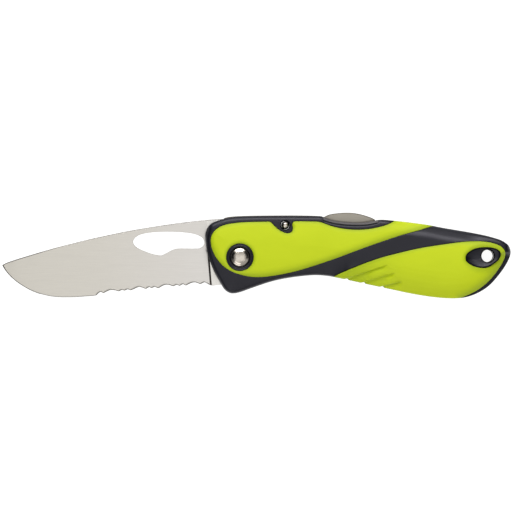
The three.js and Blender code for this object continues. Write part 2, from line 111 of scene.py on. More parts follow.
TEETH = [
  [-53.81, -14.21], [-53.14, -13.54], [-52.43, -13.07], [-51.86, -13.11], [-51.26, -13.46],
  [-50.51, -13.12], [-49.69, -12.71], [-48.86, -12.38], [-47.81, -12.28], [-46.76, -12.41],
  [-45.97, -12.64], [-45.3, -12.77], [-44.74, -12.45], [-44.1, -12.28], [-43.35, -12.51],
  [-42.64, -12.26], [-42, -12.04], [-41.18, -12.38], [-40.31, -12.15], [-39.56, -11.85],
  [-38.74, -11.44], [-37.76, -11.16], [-36.86, -11.32], [-36.11, -11.59], [-35.36, -11.87],
  [-34.65, -11.51], [-33.94, -11.23], [-33.15, -11.57], [-32.47, -11.29], [-31.88, -11.14],
  [-30.64, -11.61], [-29.81, -11.18], [-29.06, -10.76], [-28.24, -10.41], [-27.45, -10.31],
  [-26.44, -10.43], [-25.69, -10.69], [-24.97, -10.88], [-24.26, -10.57], [-23.55, -10.39],
  [-22.65, -10.71], [-21.97, -10.39], [-21.3, -10.11], [-20.32, -10.59], [-19.61, -10.28],
  [-18.86, -9.9], [-18, -9.58], [-17.03, -9.43], [-16.05, -9.6], [-14.93, -10.05],
  [-14.14, -9.75], [-13.31, -9.41], [-12.53, -9.73], [-11.78, -10.18], [-11.18, -10.46]
]
RICASSO = [
  [-10.12, -10.71], [-8.62, -10.46], [-6.9, -10.39]
]
THUMB = [
  [-40.09, 5.7], [-39.53, 7.05], [-38.06, 8.17], [-35.81, 8.89], [-33, 9.3], [-29.25, 9.52],
  [-25.12, 9.54], [-21.38, 9.34], [-18, 8.89], [-15.56, 8.17], [-13.99, 7.09], [-13.35, 5.62],
  [-13.76, 4.31], [-14.89, 3.45], [-16.5, 3.21], [-19.5, 3.24], [-22.5, 3.26], [-24.38, 3.04],
  [-26.06, 2.36], [-27.64, 1.46], [-29.06, 0.79], [-30.56, 0.75], [-33, 1.24], [-35.62, 2.14],
  [-37.88, 3.19], [-39.45, 4.35]
]
BAR_TOP = [
  [-5.89, 14.74], [-4.5, 15.04], [-1.5, 15.32], [2.25, 15.47], [8.25, 15.58], [18.75, 15.64],
  [24.75, 15.58], [29.25, 15.47], [31.12, 15.36], [32.44, 15.52], [33.94, 15.97],
  [36.94, 16.5], [39.94, 16.65], [42.94, 16.48], [45.94, 15.88], [48.94, 14.89],
  [50.59, 14.06]
]
DISH = [
  [84.23, -0.49], [84.49, 0.86], [85.5, 1.95], [87.11, 2.92], [89.06, 3.49], [91.12, 3.73],
  [93.38, 3.67], [95.44, 3.34], [97.05, 2.62], [97.84, 1.5], [97.73, 0.22], [96.82, -1.16],
  [95.32, -2.32], [93.45, -3.41], [91.31, -3.98], [89.06, -3.86], [87, -3.26], [85.35, -2.29],
  [84.45, -1.39]
]

REAR_OUT = [[75, -17.6], [57, -14.6], [40, -11.4]]
BAR_LOW = [
    [50.5, 12.9], [49.4, 11.5], [45, 10.6], [38, 10.3], [30, 10.2], [24, 9.9], [20.3, 9.35],
    [17, 9.15], [14.2, 9.45], [11.2, 10.05], [7.2, 10.9], [4.4, 11.9], [2.4, 12.4], [-3.2, 12.4],
    [-3.3, 11.05], [-6.05, 11.05],
]
SPACER_IN = [
    [53.2, 13.1], [52.6, 8.0], [52.6, 7.6], [58.9, 7.6], [58.9, 6.5], [52.6, 6.5], [52.8, 5.5],
    [57, 5.2], [62, 5.0], [67.5, 4.2], [72.5, 2.6], [76.5, 0.8], [80.2, -1.2], [83.2, -3.6],
    [85.6, -6.4], [87.5, -9.4], [88.9, -12.4],
]
LEAF = [[58.7, 7.05], [53, 7.05], [47, 7.5], [40, 8.5], [34, 9.3], [30.5, 9.55], [28.5, 9.45], [27.2, 9.1]]
RIVETS = [(57.6, 9.75), (77.2, 6.3), (92.6, -6.7)]
PIN = (16.95, 11.96)
LANYARD = (92.63, 0.49)
LANYARD_R = 2.33
# grip steps: from the lower edge up and back, where each fades out
STEPS = [((38.6, -8.7), (55.2, -3.1)), ((45.0, -10.0), (58.0, -6.1)), ((51.8, -11.55), (60.6, -9.3))]


# ---- curves and distances -----------------------------------------------------------------------
def smooth(pts, step, closed=False):
    p = np.array(pts, float)
    ext = np.vstack([p[-1:], p, p[:2]]) if closed else np.vstack([p[:1], p, p[-1:]])
    spans = len(p) if closed else len(p) - 1
    out = []
    for k in range(spans):
        p0, p1, p2, p3 = ext[k], ext[k + 1], ext[k + 2], ext[k + 3]
        v0, v1 = (p2 - p0) / 2, (p3 - p1) / 2
        for j in range(step):
            t = j / step
            out.append((2 * p1 - 2 * p2 + v0 + v1) * t ** 3 + (-3 * p1 + 3 * p2 - 2 * v0 - v1) * t ** 2 + v0 * t + p1)
    if not closed:
        out.append(p[-1])
    return np.array(out)


def resample(pts, spacing, closed=True):
    """Points about `spacing` apart along a polyline, its own corners kept."""
    p = np.array(pts, float)
    out = []
    n = len(p) if closed else len(p) - 1
    for i in range(n):
        a, b = p[i], p[(i + 1) % len(p)]
        m = max(1, int(round(np.linalg.norm(b - a) / spacing)))
        for j in range(m):
            out.append(a + (b - a) * j / m)
    if not closed:
        out.append(p[-1])
    out = np.array(out)
    keep = [0]
    for i in range(1, len(out)):
        if np.linalg.norm(out[i] - out[keep[-1]]) > spacing * 0.35:
            keep.append(i)
    return out[keep]


def circle(c, r, n):
    a = 2 * np.pi * np.arange(n) / n
    return np.stack([c[0] + r * np.cos(a), c[1] + r * np.sin(a)], 1)


def arc(r, a0, a1, n):
    a = np.radians(np.linspace(a0, a1, n + 1))
    return np.stack([r * np.cos(a), r * np.sin(a)], 1)


def dist(points, line, closed=True):
    """Distance of each point to a polyline."""
    a = np.asarray(line, float)
    b = np.roll(a, -1, 0)
    if not closed:
        a, b = a[:-1], b[:-1]
    d = b - a
    l2 = np.maximum((d * d).sum(1), 1e-12)
    out = np.empty(len(points))
    for i in range(0, len(points), 1500):
        q = points[i:i + 1500]
        w = q[:, None, :] - a[None]
        t = np.clip((w * d[None]).sum(2) / l2[None], 0, 1)
        e = w - t[..., None] * d[None]
        out[i:i + 1500] = np.sqrt((e * e).sum(2).min(1))
    return out


def facing(points, line, closed=True, flip=False):
    """Distance to a polyline and the outward normal's Y where it is nearest (outline taken anticlockwise)."""
    a = np.asarray(line, float)
    b = np.roll(a, -1, 0)
    if not closed:
        a, b = a[:-1], b[:-1]
    d = b - a
    l2 = np.maximum((d * d).sum(1), 1e-12)
    ny = -d[:, 0] / np.sqrt(l2)
    if flip:
        ny = -ny
    # evened out along the line
    for _ in range(3):
        ny = (np.roll(ny, 1) + 2 * ny + np.roll(ny, -1)) / 4 if closed else np.convolve(np.pad(ny, 1, mode="edge"), [0.25, 0.5, 0.25], "valid")
    out, face = np.empty(len(points)), np.empty(len(points))
    for i in range(0, len(points), 1500):
        q = points[i:i + 1500]
        w = q[:, None, :] - a[None]
        t = np.clip((w * d[None]).sum(2) / l2[None], 0, 1)
        e = w - t[..., None] * d[None]
        g = (e * e).sum(2)
        # soft choice among the nearest stretches
        m = g.min(1)
        wt = np.exp(-(np.sqrt(g) - np.sqrt(m)[:, None]) / 0.35)
        face[i:i + 1500] = (wt * ny[None]).sum(1) / wt.sum(1)
        out[i:i + 1500] = np.sqrt(m)
    return out, face


def inside(points, loop):
    a = np.asarray(loop, float)
    b = np.roll(a, -1, 0)
    out = np.zeros(len(points), bool)
    for i in range(0, len(points), 2500):
        x, y = points[i:i + 2500, 0][:, None], points[i:i + 2500, 1][:, None]
        c = (a[None, :, 1] > y) != (b[None, :, 1] > y)
        with np.errstate(divide="ignore", invalid="ignore"):
            xi = (b[None, :, 0] - a[None, :, 0]) * (y - a[None, :, 1]) / (b[None, :, 1] - a[None, :, 1]) + a[None, :, 0]
        out[i:i + 2500] = (np.logical_and(c, x < xi).sum(1) % 2) == 1
    return out


def area(p):
    q = np.roll(p, -1, 0)
    return 0.5 * float((p[:, 0] * q[:, 1] - q[:, 0] * p[:, 1]).sum())


def offset(p, d):
    """Closed outline moved outwards by d."""
    s = 1.0 if area(p) > 0 else -1.0
    t = np.roll(p, -1, 0) - np.roll(p, 1, 0)
    t /= np.maximum(np.linalg.norm(t, axis=1, keepdims=True), 1e-9)
    return np.stack([p[:, 0] + s * t[:, 1] * d, p[:, 1] - s * t[:, 0] * d], 1)


def smoothstep(x):
    x = np.clip(x, 0, 1)
    return x * x * (3 - 2 * x)


def roll(d, w, h):
    """Drop below a flat top at distance d from a rounded edge of width w and height h."""
    t = np.clip(d / w, 0, 1)
    return h * (1 - np.sqrt(np.maximum(0, 1 - (1 - t) ** 2)))


# ---- meshing ----------------------------------------------------------------------------------------
def ring_points(loops, distances, both=False):
    """Points at set distances beside each closed loop, on the loop's inner side or on both."""
    out = []
    for loop in loops:
        for d in distances:
            for s in ((-1, 1) if both else (-1,)):
                out.append(offset(loop, s * d))
    return np.vstack(out) if out else np.zeros((0, 2))


def hex_grid(lo, hi, s):
    ys = np.arange(lo[1], hi[1], s * 0.866)
    out = []
    for i, y in enumerate(ys):
        xs = np.arange(lo[0] + (0.5 * s if i % 2 else 0), hi[0], s)
        out.append(np.stack([xs, np.full(len(xs), y)], 1))
    return np.vstack(out)


def thin(points, tol):
    """Drops points closer than tol to an earlier one."""
    cell = {}
    keep = []
    inv = 1.0 / tol
    for i, (x, y) in enumerate(points):
        cx, cy = int(math.floor(x * inv)), int(math.floor(y * inv))
        ok = True
        for dx in (-1, 0, 1):
            for dy in (-1, 0, 1):
                for j in cell.get((cx + dx, cy + dy), ()):
                    if (points[j, 0] - x) ** 2 + (points[j, 1] - y) ** 2 < tol * tol:
                        ok = False
                        break
                if not ok:
                    break
            if not ok:
                break
        if ok:
            keep.append(i)
            cell.setdefault((cx, cy), []).append(i)
    return points[keep]


def triangulate(outer, holes, lines, extra, spacing, clear=0.08):
    """Triangles over the outline less its holes. lines are open or closed polylines kept as edges
    (list of (points, closed)); extra are wanted points; a hex grid of `spacing` fills the rest."""
    chains = [(outer, True)] + [(h, True) for h in holes] + list(lines)
    coords, edges = [], []
    for pts, closed in chains:
        k = len(coords)
        coords += [tuple(q) for q in pts]
        n = len(pts)
        edges += [(k + i, k + (i + 1) % n) for i in range(n if closed else n - 1)]
    fixed = np.vstack([c[0] for c in chains])
    lo, hi = outer.min(0), outer.max(0)
    grid = hex_grid(lo, hi, spacing)

    def near(points, gap):
        d = np.full(len(points), 1e9)
        for pts, closed in chains:
            d = np.minimum(d, dist(points, pts, closed))
        return d > gap

    if len(extra):
        extra = extra[inside(extra, outer)]
        extra = extra[near(extra, clear * 0.9)]
        extra = thin(extra, clear * 1.2)
    grid = grid[inside(grid, outer)]
    grid = grid[near(grid, spacing * 0.45)]
    if len(extra):
        cell = {}
        g = spacing * 0.5
        for x, y in extra:
            cell.setdefault((int(math.floor(x / g)), int(math.floor(y / g))), []).append((x, y))
        keep = []
        for i, (x, y) in enumerate(grid):
            cx, cy = int(math.floor(x / g)), int(math.floor(y / g))
            hit = any((px - x) ** 2 + (py - y) ** 2 < g * g
                      for dx in (-1, 0, 1) for dy in (-1, 0, 1) for px, py in cell.get((cx + dx, cy + dy), ()))
            if not hit:
                keep.append(i)
        grid = grid[keep]
    pts = np.vstack([fixed, extra, grid]) if len(extra) else np.vstack([fixed, grid])
    v, _, f, _, _, _ = delaunay_2d_cdt([Vector(p) for p in pts], edges, [], 0, 5e-4)
    v = np.array([tuple(p) for p in v])
    f = np.array([t for t in f if len(t) == 3])
    c = v[f].mean(1)
    ok = inside(c, outer)
    for h in holes:
        ok &= ~inside(c, h)
    f = f[ok]
    a = v[f]
    cr = (a[:, 1, 0] - a[:, 0, 0]) * (a[:, 2, 1] - a[:, 0, 1]) - (a[:, 1, 1] - a[:, 0, 1]) * (a[:, 2, 0] - a[:, 0, 0])
    f = f[np.abs(cr) > 1e-12]
    cr = cr[np.abs(cr) > 1e-12]
    f[cr < 0] = f[cr < 0][:, ::-1]
    return v, f


def terrain(v, f, region, tops, bottoms):
    """Closed solid over triangles f. region[i] is each triangle's region; tops[r](points) and
    bottoms[r](points) give heights there. Steps between regions and the rim get upright walls."""
    verts, faces = [], []
    index = {}
    zt, zb = {}, {}
    for r in set(region.tolist()):
        ids = np.unique(f[region == r])
        t, b = tops[r](v[ids]), bottoms[r](v[ids])
        for i, a, c in zip(ids.tolist(), t.tolist(), b.tolist()):
            zt[(i, r)], zb[(i, r)] = a, c

    def vert(i, z):
        key = (i, round(z, 6))
        if key not in index:
            index[key] = len(verts)
            verts.append((v[i][0], v[i][1], z))
        return index[key]

    owner = {}
    for (a, b, c), r in zip(f.tolist(), region.tolist()):
        faces.append((vert(a, zt[(a, r)]), vert(b, zt[(b, r)]), vert(c, zt[(c, r)])))
        faces.append((vert(c, zb[(c, r)]), vert(b, zb[(b, r)]), vert(a, zb[(a, r)])))
        for e in ((a, b), (b, c), (c, a)):
            owner[e] = r

    # all heights that a column of vertices carries, so that walls meet without T-junctions
    levels = {}
    for (i, r), z in list(zt.items()) + list(zb.items()):
        levels.setdefault(i, set()).add(round(z, 6))

    def wall(a, b, lo_a, hi_a, lo_b, hi_b):
        """Upright face on edge a-b, seen from the right of a to b, between two heights at each end."""
        la = sorted(z for z in levels[a] if lo_a - 1e-6 <= z <= hi_a + 1e-6)
        lb = sorted(z for z in levels[b] if lo_b - 1e-6 <= z <= hi_b + 1e-6)
        poly = [(a, z) for z in la] + [(b, z) for z in reversed(lb)]
        ids = [vert(i, z) for i, z in poly]
        clean = [k for n, k in enumerate(ids) if k != ids[n - 1]]
        if len(set(clean)) >= 3:
            faces.append(tuple(clean))

    for (a, b), r in owner.items():
        other = owner.get((b, a))
        if other is None:
            wall(b, a, zb[(b, r)], zt[(b, r)], zb[(a, r)], zt[(a, r)])
        elif other != r:
            # this side's part that stands above the other side's top
            ta, tb, oa, ob = zt[(a, r)], zt[(b, r)], zt[(a, other)], zt[(b, other)]
            if ta + tb > oa + ob + 1e-6:
                wall(b, a, min(ob, tb), tb, min(oa, ta), ta)
            ba, bb, pa, pb = zb[(a, r)], zb[(b, r)], zb[(a, other)], zb[(b, other)]
            if ba + bb < pa + pb - 1e-6:
                wall(b, a, bb, max(pb, bb), ba, max(pa, ba))
    return verts, faces


def to_object(name, verts, faces, flip_z=False, sharp=32):
    """Millimetres from the pivot to a Blender object in metres; flip_z mirrors it to the far side."""
    p = np.array(verts, float)
    if flip_z:
        p[:, 2] *= -1
        faces = [tuple(reversed(t)) for t in faces]
    p = p / 1000.0 + PIVOT[None]
    me = bpy.data.meshes.new(name)
    me.from_pydata([tuple(q) for q in p], [], [tuple(int(i) for i in t) for t in faces])
    me.validate()
    me.update()
    o = bpy.data.objects.new(name, me)
    bpy.context.scene.collection.objects.link(o)
    me.shade_smooth()
    me.set_sharp_from_angle(angle=math.radians(sharp))
    return o


def turned(profile, c, n, phase=0.0):
    """Solid of revolution about Z through c; profile is [r, z] from axis to axis, bottom to top outside."""
    prof = [tuple(p) for p in profile]
    verts, faces, rows = [], [], []
    for r, z in prof:
        if r < 1e-6:
            rows.append([len(verts)])
            verts.append((c[0], c[1], z))
        else:
            rows.append(list(range(len(verts), len(verts) + n)))
            for k in range(n):
                a = 2 * math.pi * k / n + phase
                verts.append((c[0] + r * math.cos(a), c[1] + r * math.sin(a), z))
    for a, b in zip(rows, rows[1:]):
        for k in range(n):
            k2 = (k + 1) % n
            if len(a) == 1 and len(b) == 1:
                continue
            if len(a) == 1:
                faces.append((a[0], b[k2], b[k]))
            elif len(b) == 1:
                faces.append((a[k], a[k2], b[0]))
            else:
                faces.append((a[k], a[k2], b[k2], b[k]))
    return verts, faces


def ring_turned(profile, c, n):
    """Solid ring: closed profile of [r, z], anticlockwise in the r-z plane."""
    verts, faces = [], []
    m = len(profile)
    for r, z in profile:
        for k in range(n):
            a = 2 * math.pi * k / n
            verts.append((c[0] + r * math.cos(a), c[1] + r * math.sin(a), z))
    for i in range(m):
        j = (i + 1) % m
        for k in range(n):
            k2 = (k + 1) % n
            faces.append((i * n + k, i * n + k2, j * n + k2, j * n + k))
    return verts, faces


def fine_plate(name, outline, holes, z0, z1, chamfer=0.12, spacing=2.0, sharp=25):
    """Flat plate with small chamfers along its outline and holes."""
    rings = []
    if chamfer:
        rings = [offset(outline, -chamfer)] + [offset(h, chamfer) for h in holes]
    extra = np.vstack(rings) if rings else np.zeros((0, 2))
    v, f = triangulate(outline, holes, [], extra, spacing, clear=chamfer * 0.8 if chamfer else 0.1)

    def drop(p):
        d = dist(p, outline)
        for h in holes:
            d = np.minimum(d, dist(p, h))
        return np.clip(1 - d / (chamfer * 0.95), 0, 1) * chamfer if chamfer else np.zeros(len(p))

    reg = np.zeros(len(f), int)
    vv, ff = terrain(v, f, reg, {0: lambda p: z1 - drop(p)}, {0: lambda p: z0 + drop(p)})
    return vv, ff


# ---- materials --------------------------------------------------------------------------------------
def new_material(name):
    m = bpy.data.materials.new(name)
    m.use_nodes = True
    nt = m.node_tree
    nt.nodes.clear()
    out = nt.nodes.new("ShaderNodeOutputMaterial")
    bsdf = nt.nodes.new("ShaderNodeBsdfPrincipled")
    nt.links.new(bsdf.outputs["BSDF"], out.inputs["Surface"])
    return m, nt, bsdf


def node(nt, kind, **sets):
    n = nt.nodes.new(kind)
    for k, v in sets.items():
        if k in n.inputs:
            n.inputs[k].default_value = v
        else:
            setattr(n, k, v)
    return n


def ramp(nt, fac, stops):
    r = nt.nodes.new("ShaderNodeValToRGB")
    el = r.color_ramp.elements
    while len(el) < len(stops):
        el.new(0.5)
    for e, (pos, col) in zip(el, stops):
        e.position = pos
        e.color = (*col, 1) if len(col) == 3 else col
    nt.links.new(fac, r.inputs["Fac"])
    return r


def mapped(nt, scale=(1, 1, 1), rotation=(0, 0, 0)):
    co = nt.nodes.new("ShaderNodeTexCoord")
    mp = nt.nodes.new("ShaderNodeMapping")
    mp.inputs["Scale"].default_value = scale
    mp.inputs["Rotation"].default_value = rotation
    nt.links.new(co.outputs["Object"], mp.inputs["Vector"])
    return mp.outputs["Vector"]


def value_of(nt, a, op, b):
    m = nt.nodes.new("ShaderNodeMath")
    m.operation = op
    for i, q in enumerate((a, b)):
        if hasattr(q, "links"):
            nt.links.new(q, m.inputs[i])
        else:
            m.inputs[i].default_value = q
    return m.outputs[0]


def bump(nt, bsdf, chain):
    """chain: list of (height socket, strength, distance), laid one over another."""
    last = None
    for h, strength, distance in chain:
        b = nt.nodes.new("ShaderNodeBump")
        b.inputs["Strength"].default_value = strength
        b.inputs["Distance"].default_value = distance
        nt.links.new(h, b.inputs["Height"])
        if last is not None:
            nt.links.new(last, b.inputs["Normal"])
        last = b.outputs["Normal"]
    nt.links.new(last, bsdf.inputs["Normal"])


def brushed(name, colours, rough, scale=(300, 9000, 9000), rotation=(0, 0, 0), depth=0.000012, strength=0.35, blotch=60, tone_low=0.93):
    """Metal with fine grinding lines along local X and a faint uneven tone."""
    m, nt, b = new_material(name)
    b.inputs["Metallic"].default_value = 1.0
    lines = node(nt, "ShaderNodeTexNoise", Scale=1.0, Detail=6.0, Roughness=0.65)
    nt.links.new(mapped(nt, scale, rotation), lines.inputs["Vector"])
    broad = node(nt, "ShaderNodeTexNoise", Scale=1.0, Detail=3.0, Roughness=0.5)
    nt.links.new(mapped(nt, (blotch, blotch * 6, blotch * 6), rotation), broad.inputs["Vector"])
    col = ramp(nt, lines.outputs["Fac"], [(0.3, colours[0]), (0.7, colours[1])])
    tone = ramp(nt, broad.outputs["Fac"], [(0.3, (tone_low, tone_low, tone_low)), (0.7, (1.0, 1.0, 1.0))])
    mix = node(nt, "ShaderNodeMix", data_type="RGBA", blend_type="MULTIPLY")
    mix.inputs["Factor"].default_value = 1.0
    nt.links.new(col.outputs["Color"], mix.inputs["A"])
    nt.links.new(tone.outputs["Color"], mix.inputs["B"])
    nt.links.new(mix.outputs["Result"], b.inputs["Base Color"])
    r = value_of(nt, lines.outputs["Fac"], "MULTIPLY", 0.16)
    r2 = value_of(nt, broad.outputs["Fac"], "MULTIPLY", 0.10)
    r3 = value_of(nt, value_of(nt, r, "ADD", r2), "ADD", rough - 0.13)
    nt.links.new(r3, b.inputs["Roughness"])
    bump(nt, b, [(lines.outputs["Fac"], strength, depth)])
    return m


def blade_metal():
    """Satin ground blade: fine lengthwise lines, and painted shade making it a little warmer and darker towards the
    point.
    """
    m = brushed("blade_satin", ((0.600, 0.575, 0.528), (0.668, 0.643, 0.592)), 0.34, (110, 7500, 7500), strength=0.22, tone_low=0.965)
    nt = m.node_tree
    b = next(n for n in nt.nodes if n.type == "BSDF_PRINCIPLED")
    base = b.inputs["Base Color"].links[0].from_socket
    co = nt.nodes.new("ShaderNodeTexCoord")
    sep = nt.nodes.new("ShaderNodeSeparateXYZ")
    nt.links.new(co.outputs["Object"], sep.inputs[0])
    mr = nt.nodes.new("ShaderNodeMapRange")
    for i, q in enumerate((-0.095, -0.015, 0.0, 1.0)):
        mr.inputs[i + 1].default_value = q
    nt.links.new(sep.outputs["X"], mr.inputs[0])
    # painted shade: colour ramp along the blade's length, darker towards the point
    g = ramp(nt, mr.outputs[0], [(0.0, (0.945, 0.940, 0.915)), (0.45, (0.985, 0.980, 0.965)), (1.0, (1.06, 1.062, 1.10))])
    mix = node(nt, "ShaderNodeMix", data_type="RGBA", blend_type="MULTIPLY")
    mix.inputs["Factor"].default_value = 1.0
    nt.links.new(base, mix.inputs["A"])
    nt.links.new(g.outputs["Color"], mix.inputs["B"])
    nt.links.new(mix.outputs["Result"], b.inputs["Base Color"])
    return m


def moulded(name, dark, light, rough, grain, depth, strength, coat=0.0, spec=0.5, sheen=0.0, sss=0.0, patch=90):
    """Moulded plastic or elastomer: spark-eroded grain, faint flow marks, uneven tone."""
    m, nt, b = new_material(name)
    g = node(nt, "ShaderNodeTexNoise", Scale=grain, Detail=3.0, Roughness=0.6)
    nt.links.new(mapped(nt), g.inputs["Vector"])
    v = node(nt, "ShaderNodeTexVoronoi", Scale=grain * 0.55)
    nt.links.new(mapped(nt), v.inputs["Vector"])
    tone = node(nt, "ShaderNodeTexNoise", Scale=patch, Detail=4.0, Roughness=0.55)
    nt.links.new(mapped(nt, (0.6, 1.4, 1.0)), tone.inputs["Vector"])
    col = ramp(nt, tone.outputs["Fac"], [(0.32, dark), (0.68, light)])
    nt.links.new(col.outputs["Color"], b.inputs["Base Color"])
    r = value_of(nt, value_of(nt, g.outputs["Fac"], "MULTIPLY", 0.14), "ADD", rough - 0.07)
    nt.links.new(r, b.inputs["Roughness"])
    b.inputs["Specular IOR Level"].default_value = spec
    b.inputs["Coat Weight"].default_value = coat
    b.inputs["Sheen Weight"].default_value = sheen
    if sss:
        b.inputs["Subsurface Weight"].default_value = sss
        b.inputs["Subsurface Scale"].default_value = 0.0008
        b.inputs["Subsurface Radius"].default_value = (1.0, 1.0, 0.25)
    bump(nt, b, [(g.outputs["Fac"], strength, depth), (v.outputs["Distance"], strength * 0.6, depth * 0.8)])
    return m


def navy_material():
    m = moulded("navy_polyamide", (0.0040, 0.0044, 0.0078), (0.0062, 0.0066, 0.0112), 0.355, 4200, 0.00003, 0.28, spec=0.40)
    b = next(n for n in m.node_tree.nodes if n.type == "BSDF_PRINCIPLED")
    b.inputs["Specular Tint"].default_value = (0.93, 0.91, 1.0, 1.0)
    return m


def bar_material():
    """Lock bar: satin face, with painted shade along its thin chamfered border and a painted shadow where the scale's
    edge lies over it.
    """
    m = brushed("lock_steel", ((0.345, 0.318, 0.268), (0.432, 0.403, 0.345)), 0.42, (220, 6500, 6500))
    nt = m.node_tree
    b = next(n for n in nt.nodes if n.type == "BSDF_PRINCIPLED")
    base = b.inputs["Base Color"].links[0].from_socket
    # painted shade and painted shadow from the per-vertex value: darker along the border and beside the scale's outline
    at = nt.nodes.new("ShaderNodeAttribute")
    at.attribute_name = "painted_shade"
    edge = ramp(nt, at.outputs["Fac"], [(0.0, (0.22, 0.20, 0.17)), (0.5, (0.58, 0.56, 0.53)), (1.0, (1.0, 1.0, 1.0))])
    mix = node(nt, "ShaderNodeMix", data_type="RGBA", blend_type="MULTIPLY")
    mix.inputs["Factor"].default_value = 1.0
    nt.links.new(base, mix.inputs["A"])
    nt.links.new(edge.outputs["Color"], mix.inputs["B"])
    nt.links.new(mix.outputs["Result"], b.inputs["Base Color"])
    return m


def lime_material():
    m = moulded("lime_soft_touch", (0.592, 0.711, 0.0036), (0.626, 0.744, 0.0056), 0.52, 5200, 0.00003, 0.26, spec=0.30)
    nt = m.node_tree
    b = next(n for n in nt.nodes if n.type == "BSDF_PRINCIPLED")
    base = b.inputs["Base Color"].links[0].from_socket
    # painted shade: the per-vertex value darkens the lime towards the panel's borders, round the ring and the dish, and
    # under the grip steps
    at = nt.nodes.new("ShaderNodeAttribute")
    at.attribute_name = "painted_shade"
    edge = ramp(nt, at.outputs["Fac"], [(0.0, (0.66, 0.72, 1.0)), (0.55, (0.90, 0.93, 1.0)), (1.0, (1.0, 1.0, 1.0))])
    mix = node(nt, "ShaderNodeMix", data_type="RGBA", blend_type="MULTIPLY")
    mix.inputs["Factor"].default_value = 1.0
    nt.links.new(base, mix.inputs["A"])
    nt.links.new(edge.outputs["Color"], mix.inputs["B"])
    nt.links.new(mix.outputs["Result"], b.inputs["Base Color"])
    return m


def light_table(name):
    """Pale floor lit a little from beneath, so that openings stay bright."""
    m = moulded(name, (0.26, 0.26, 0.26), (0.28, 0.28, 0.28), 0.8, 300, 0.0002, 0.05, spec=0.1, patch=3)
    b = next(n for n in m.node_tree.nodes if n.type == "BSDF_PRINCIPLED")
    b.inputs["Emission Color"].default_value = (1, 1, 1, 1)
    b.inputs["Emission Strength"].default_value = 0.95
    return m


MAT = {
    "lime": lime_material(),
    "navy": navy_material(),
    "blade": blade_metal(),
    # the ricasso's lapped satin, its colour raised above the blade's as a painted highlight
    "tang": brushed("ricasso_satin_painted_highlight", ((0.64, 0.62, 0.58), (0.80, 0.78, 0.74)), 0.28, (7500, 140, 7500)),
    "edge": brushed("edge_ground", ((0.60, 0.57, 0.52), (0.74, 0.71, 0.66)), 0.30, (6000, 500, 6000)),
    "bar": bar_material(),
    # painted highlight: a lighter navy for the fine lips beside the pad
    "lip": moulded("lip_painted_highlight", (0.060, 0.052, 0.054), (0.082, 0.072, 0.074), 0.40, 4200, 0.00003, 0.28, spec=0.40),
    # painted shade: a near-black navy on the bores and a narrow ring round them
    "bore": moulded("bore_painted_shade", (0.0010, 0.0010, 0.0016), (0.0018, 0.0018, 0.0026), 0.62, 3800, 0.00004, 0.4, spec=0.10),
    "liner": brushed("liner_satin", ((0.50, 0.49, 0.48), (0.66, 0.65, 0.63)), 0.36, (260, 6000, 6000)),
    "spring": brushed("spring_strip", ((0.34, 0.34, 0.35), (0.48, 0.48, 0.49)), 0.33, (220, 5000, 5000)),
    "dome": brushed("polished_dome", ((0.56, 0.505, 0.435), (0.66, 0.605, 0.53)), 0.155, (900, 1400, 900), depth=0.000004, strength=0.12),
    # painted shade: dark steel along the teeth, the spine and the edge near the point
    "scallop": brushed("scallop_painted_shade", ((0.20, 0.185, 0.16), (0.34, 0.315, 0.28)), 0.34, (6000, 500, 6000)),
    # painted shade: near-black steel for the plunge groove and narrow strips near the point
    "groove": brushed("groove_painted_shade", ((0.05, 0.042, 0.035), (0.12, 0.105, 0.09)), 0.5, (2000, 2000, 2000)),
    # painted shade: near-black steel for the lock pin's shoulder in its well
    "shoulder_shade": brushed("shoulder_painted_shade", ((0.004, 0.004, 0.005), (0.010, 0.010, 0.011)), 0.5, (2000, 2000, 2000)),
    "bronze": brushed("washer_bronze", ((0.48, 0.32, 0.15), (0.60, 0.42, 0.21)), 0.36, (2200, 2200, 2200)),
    "floor": light_table("pale_floor"),
}


def paint(o, *mats):
    o.data.materials.clear()
    for m in mats:
        o.data.materials.append(MAT[m])


# ---- outlines made ready ------------------------------------------------------------------------------
# the rim ends in a small corner beside the pad, and the front edge is drawn a little fuller
FINER = {(27.75, 15.32): [[27.75, 15.37]], (30.38, 15.11): [[29.7, 15.35], [30.55, 15.27], [31.15, 15.0], [31.9, 14.68]],
         (33, 14.62): [[33, 14.34], [34.5, 13.89]], (36, 13.91): [[36, 13.58], [37.5, 13.37]], (39, 13.31): [[39, 13.19]],
         (-7.5, -9.07): [[-7.62, -9.12]], (-8.89, -6.3): [[-9.16, -6.44]], (-10.2, -3.68): [[-10.36, -3.78]],
         (-11.4, -0.9): [[-11.48, -0.94]]}
rim_line = [q for p in HANDLE for q in FINER.get(tuple(p), [p])]
handle = resample(smooth(rim_line, 8, True), 0.42)
# small notches in the lower edge where the grip steps run out
NOTCH = [((40.1, -8.55), 1.15, 0.42), ((46.4, -10.0), 1.2, 0.45), ((53.4, -11.6), 1.2, 0.45)]
dense = []
for i in range(len(handle)):
    a, b = handle[i], handle[(i + 1) % len(handle)]
    near = min(np.linalg.norm(a - np.array(n[0])) for n in NOTCH)
    k = 3 if near < 2.2 else 1
    dense += [a + (b - a) * j / k for j in range(k)]
handle = np.array(dense)
nrm = offset(handle, 1.0) - handle
shift = np.zeros(len(handle))
for c, half, deep in NOTCH:
    s = (handle - np.array(c)) @ np.array([0.975, -0.22])
    r = np.abs(s) / half
    near = np.linalg.norm(handle - np.array(c), axis=1) < 4
    # steep on the forward side, easing back on the rear side
    g = np.where(s > 0, smoothstep(1 - s / (half * 0.75)), smoothstep(1 + s / (half * 1.25)))
    shift -= np.where(near & (r < 1.4), g * deep, 0)
handle = handle + nrm * shift[:, None]

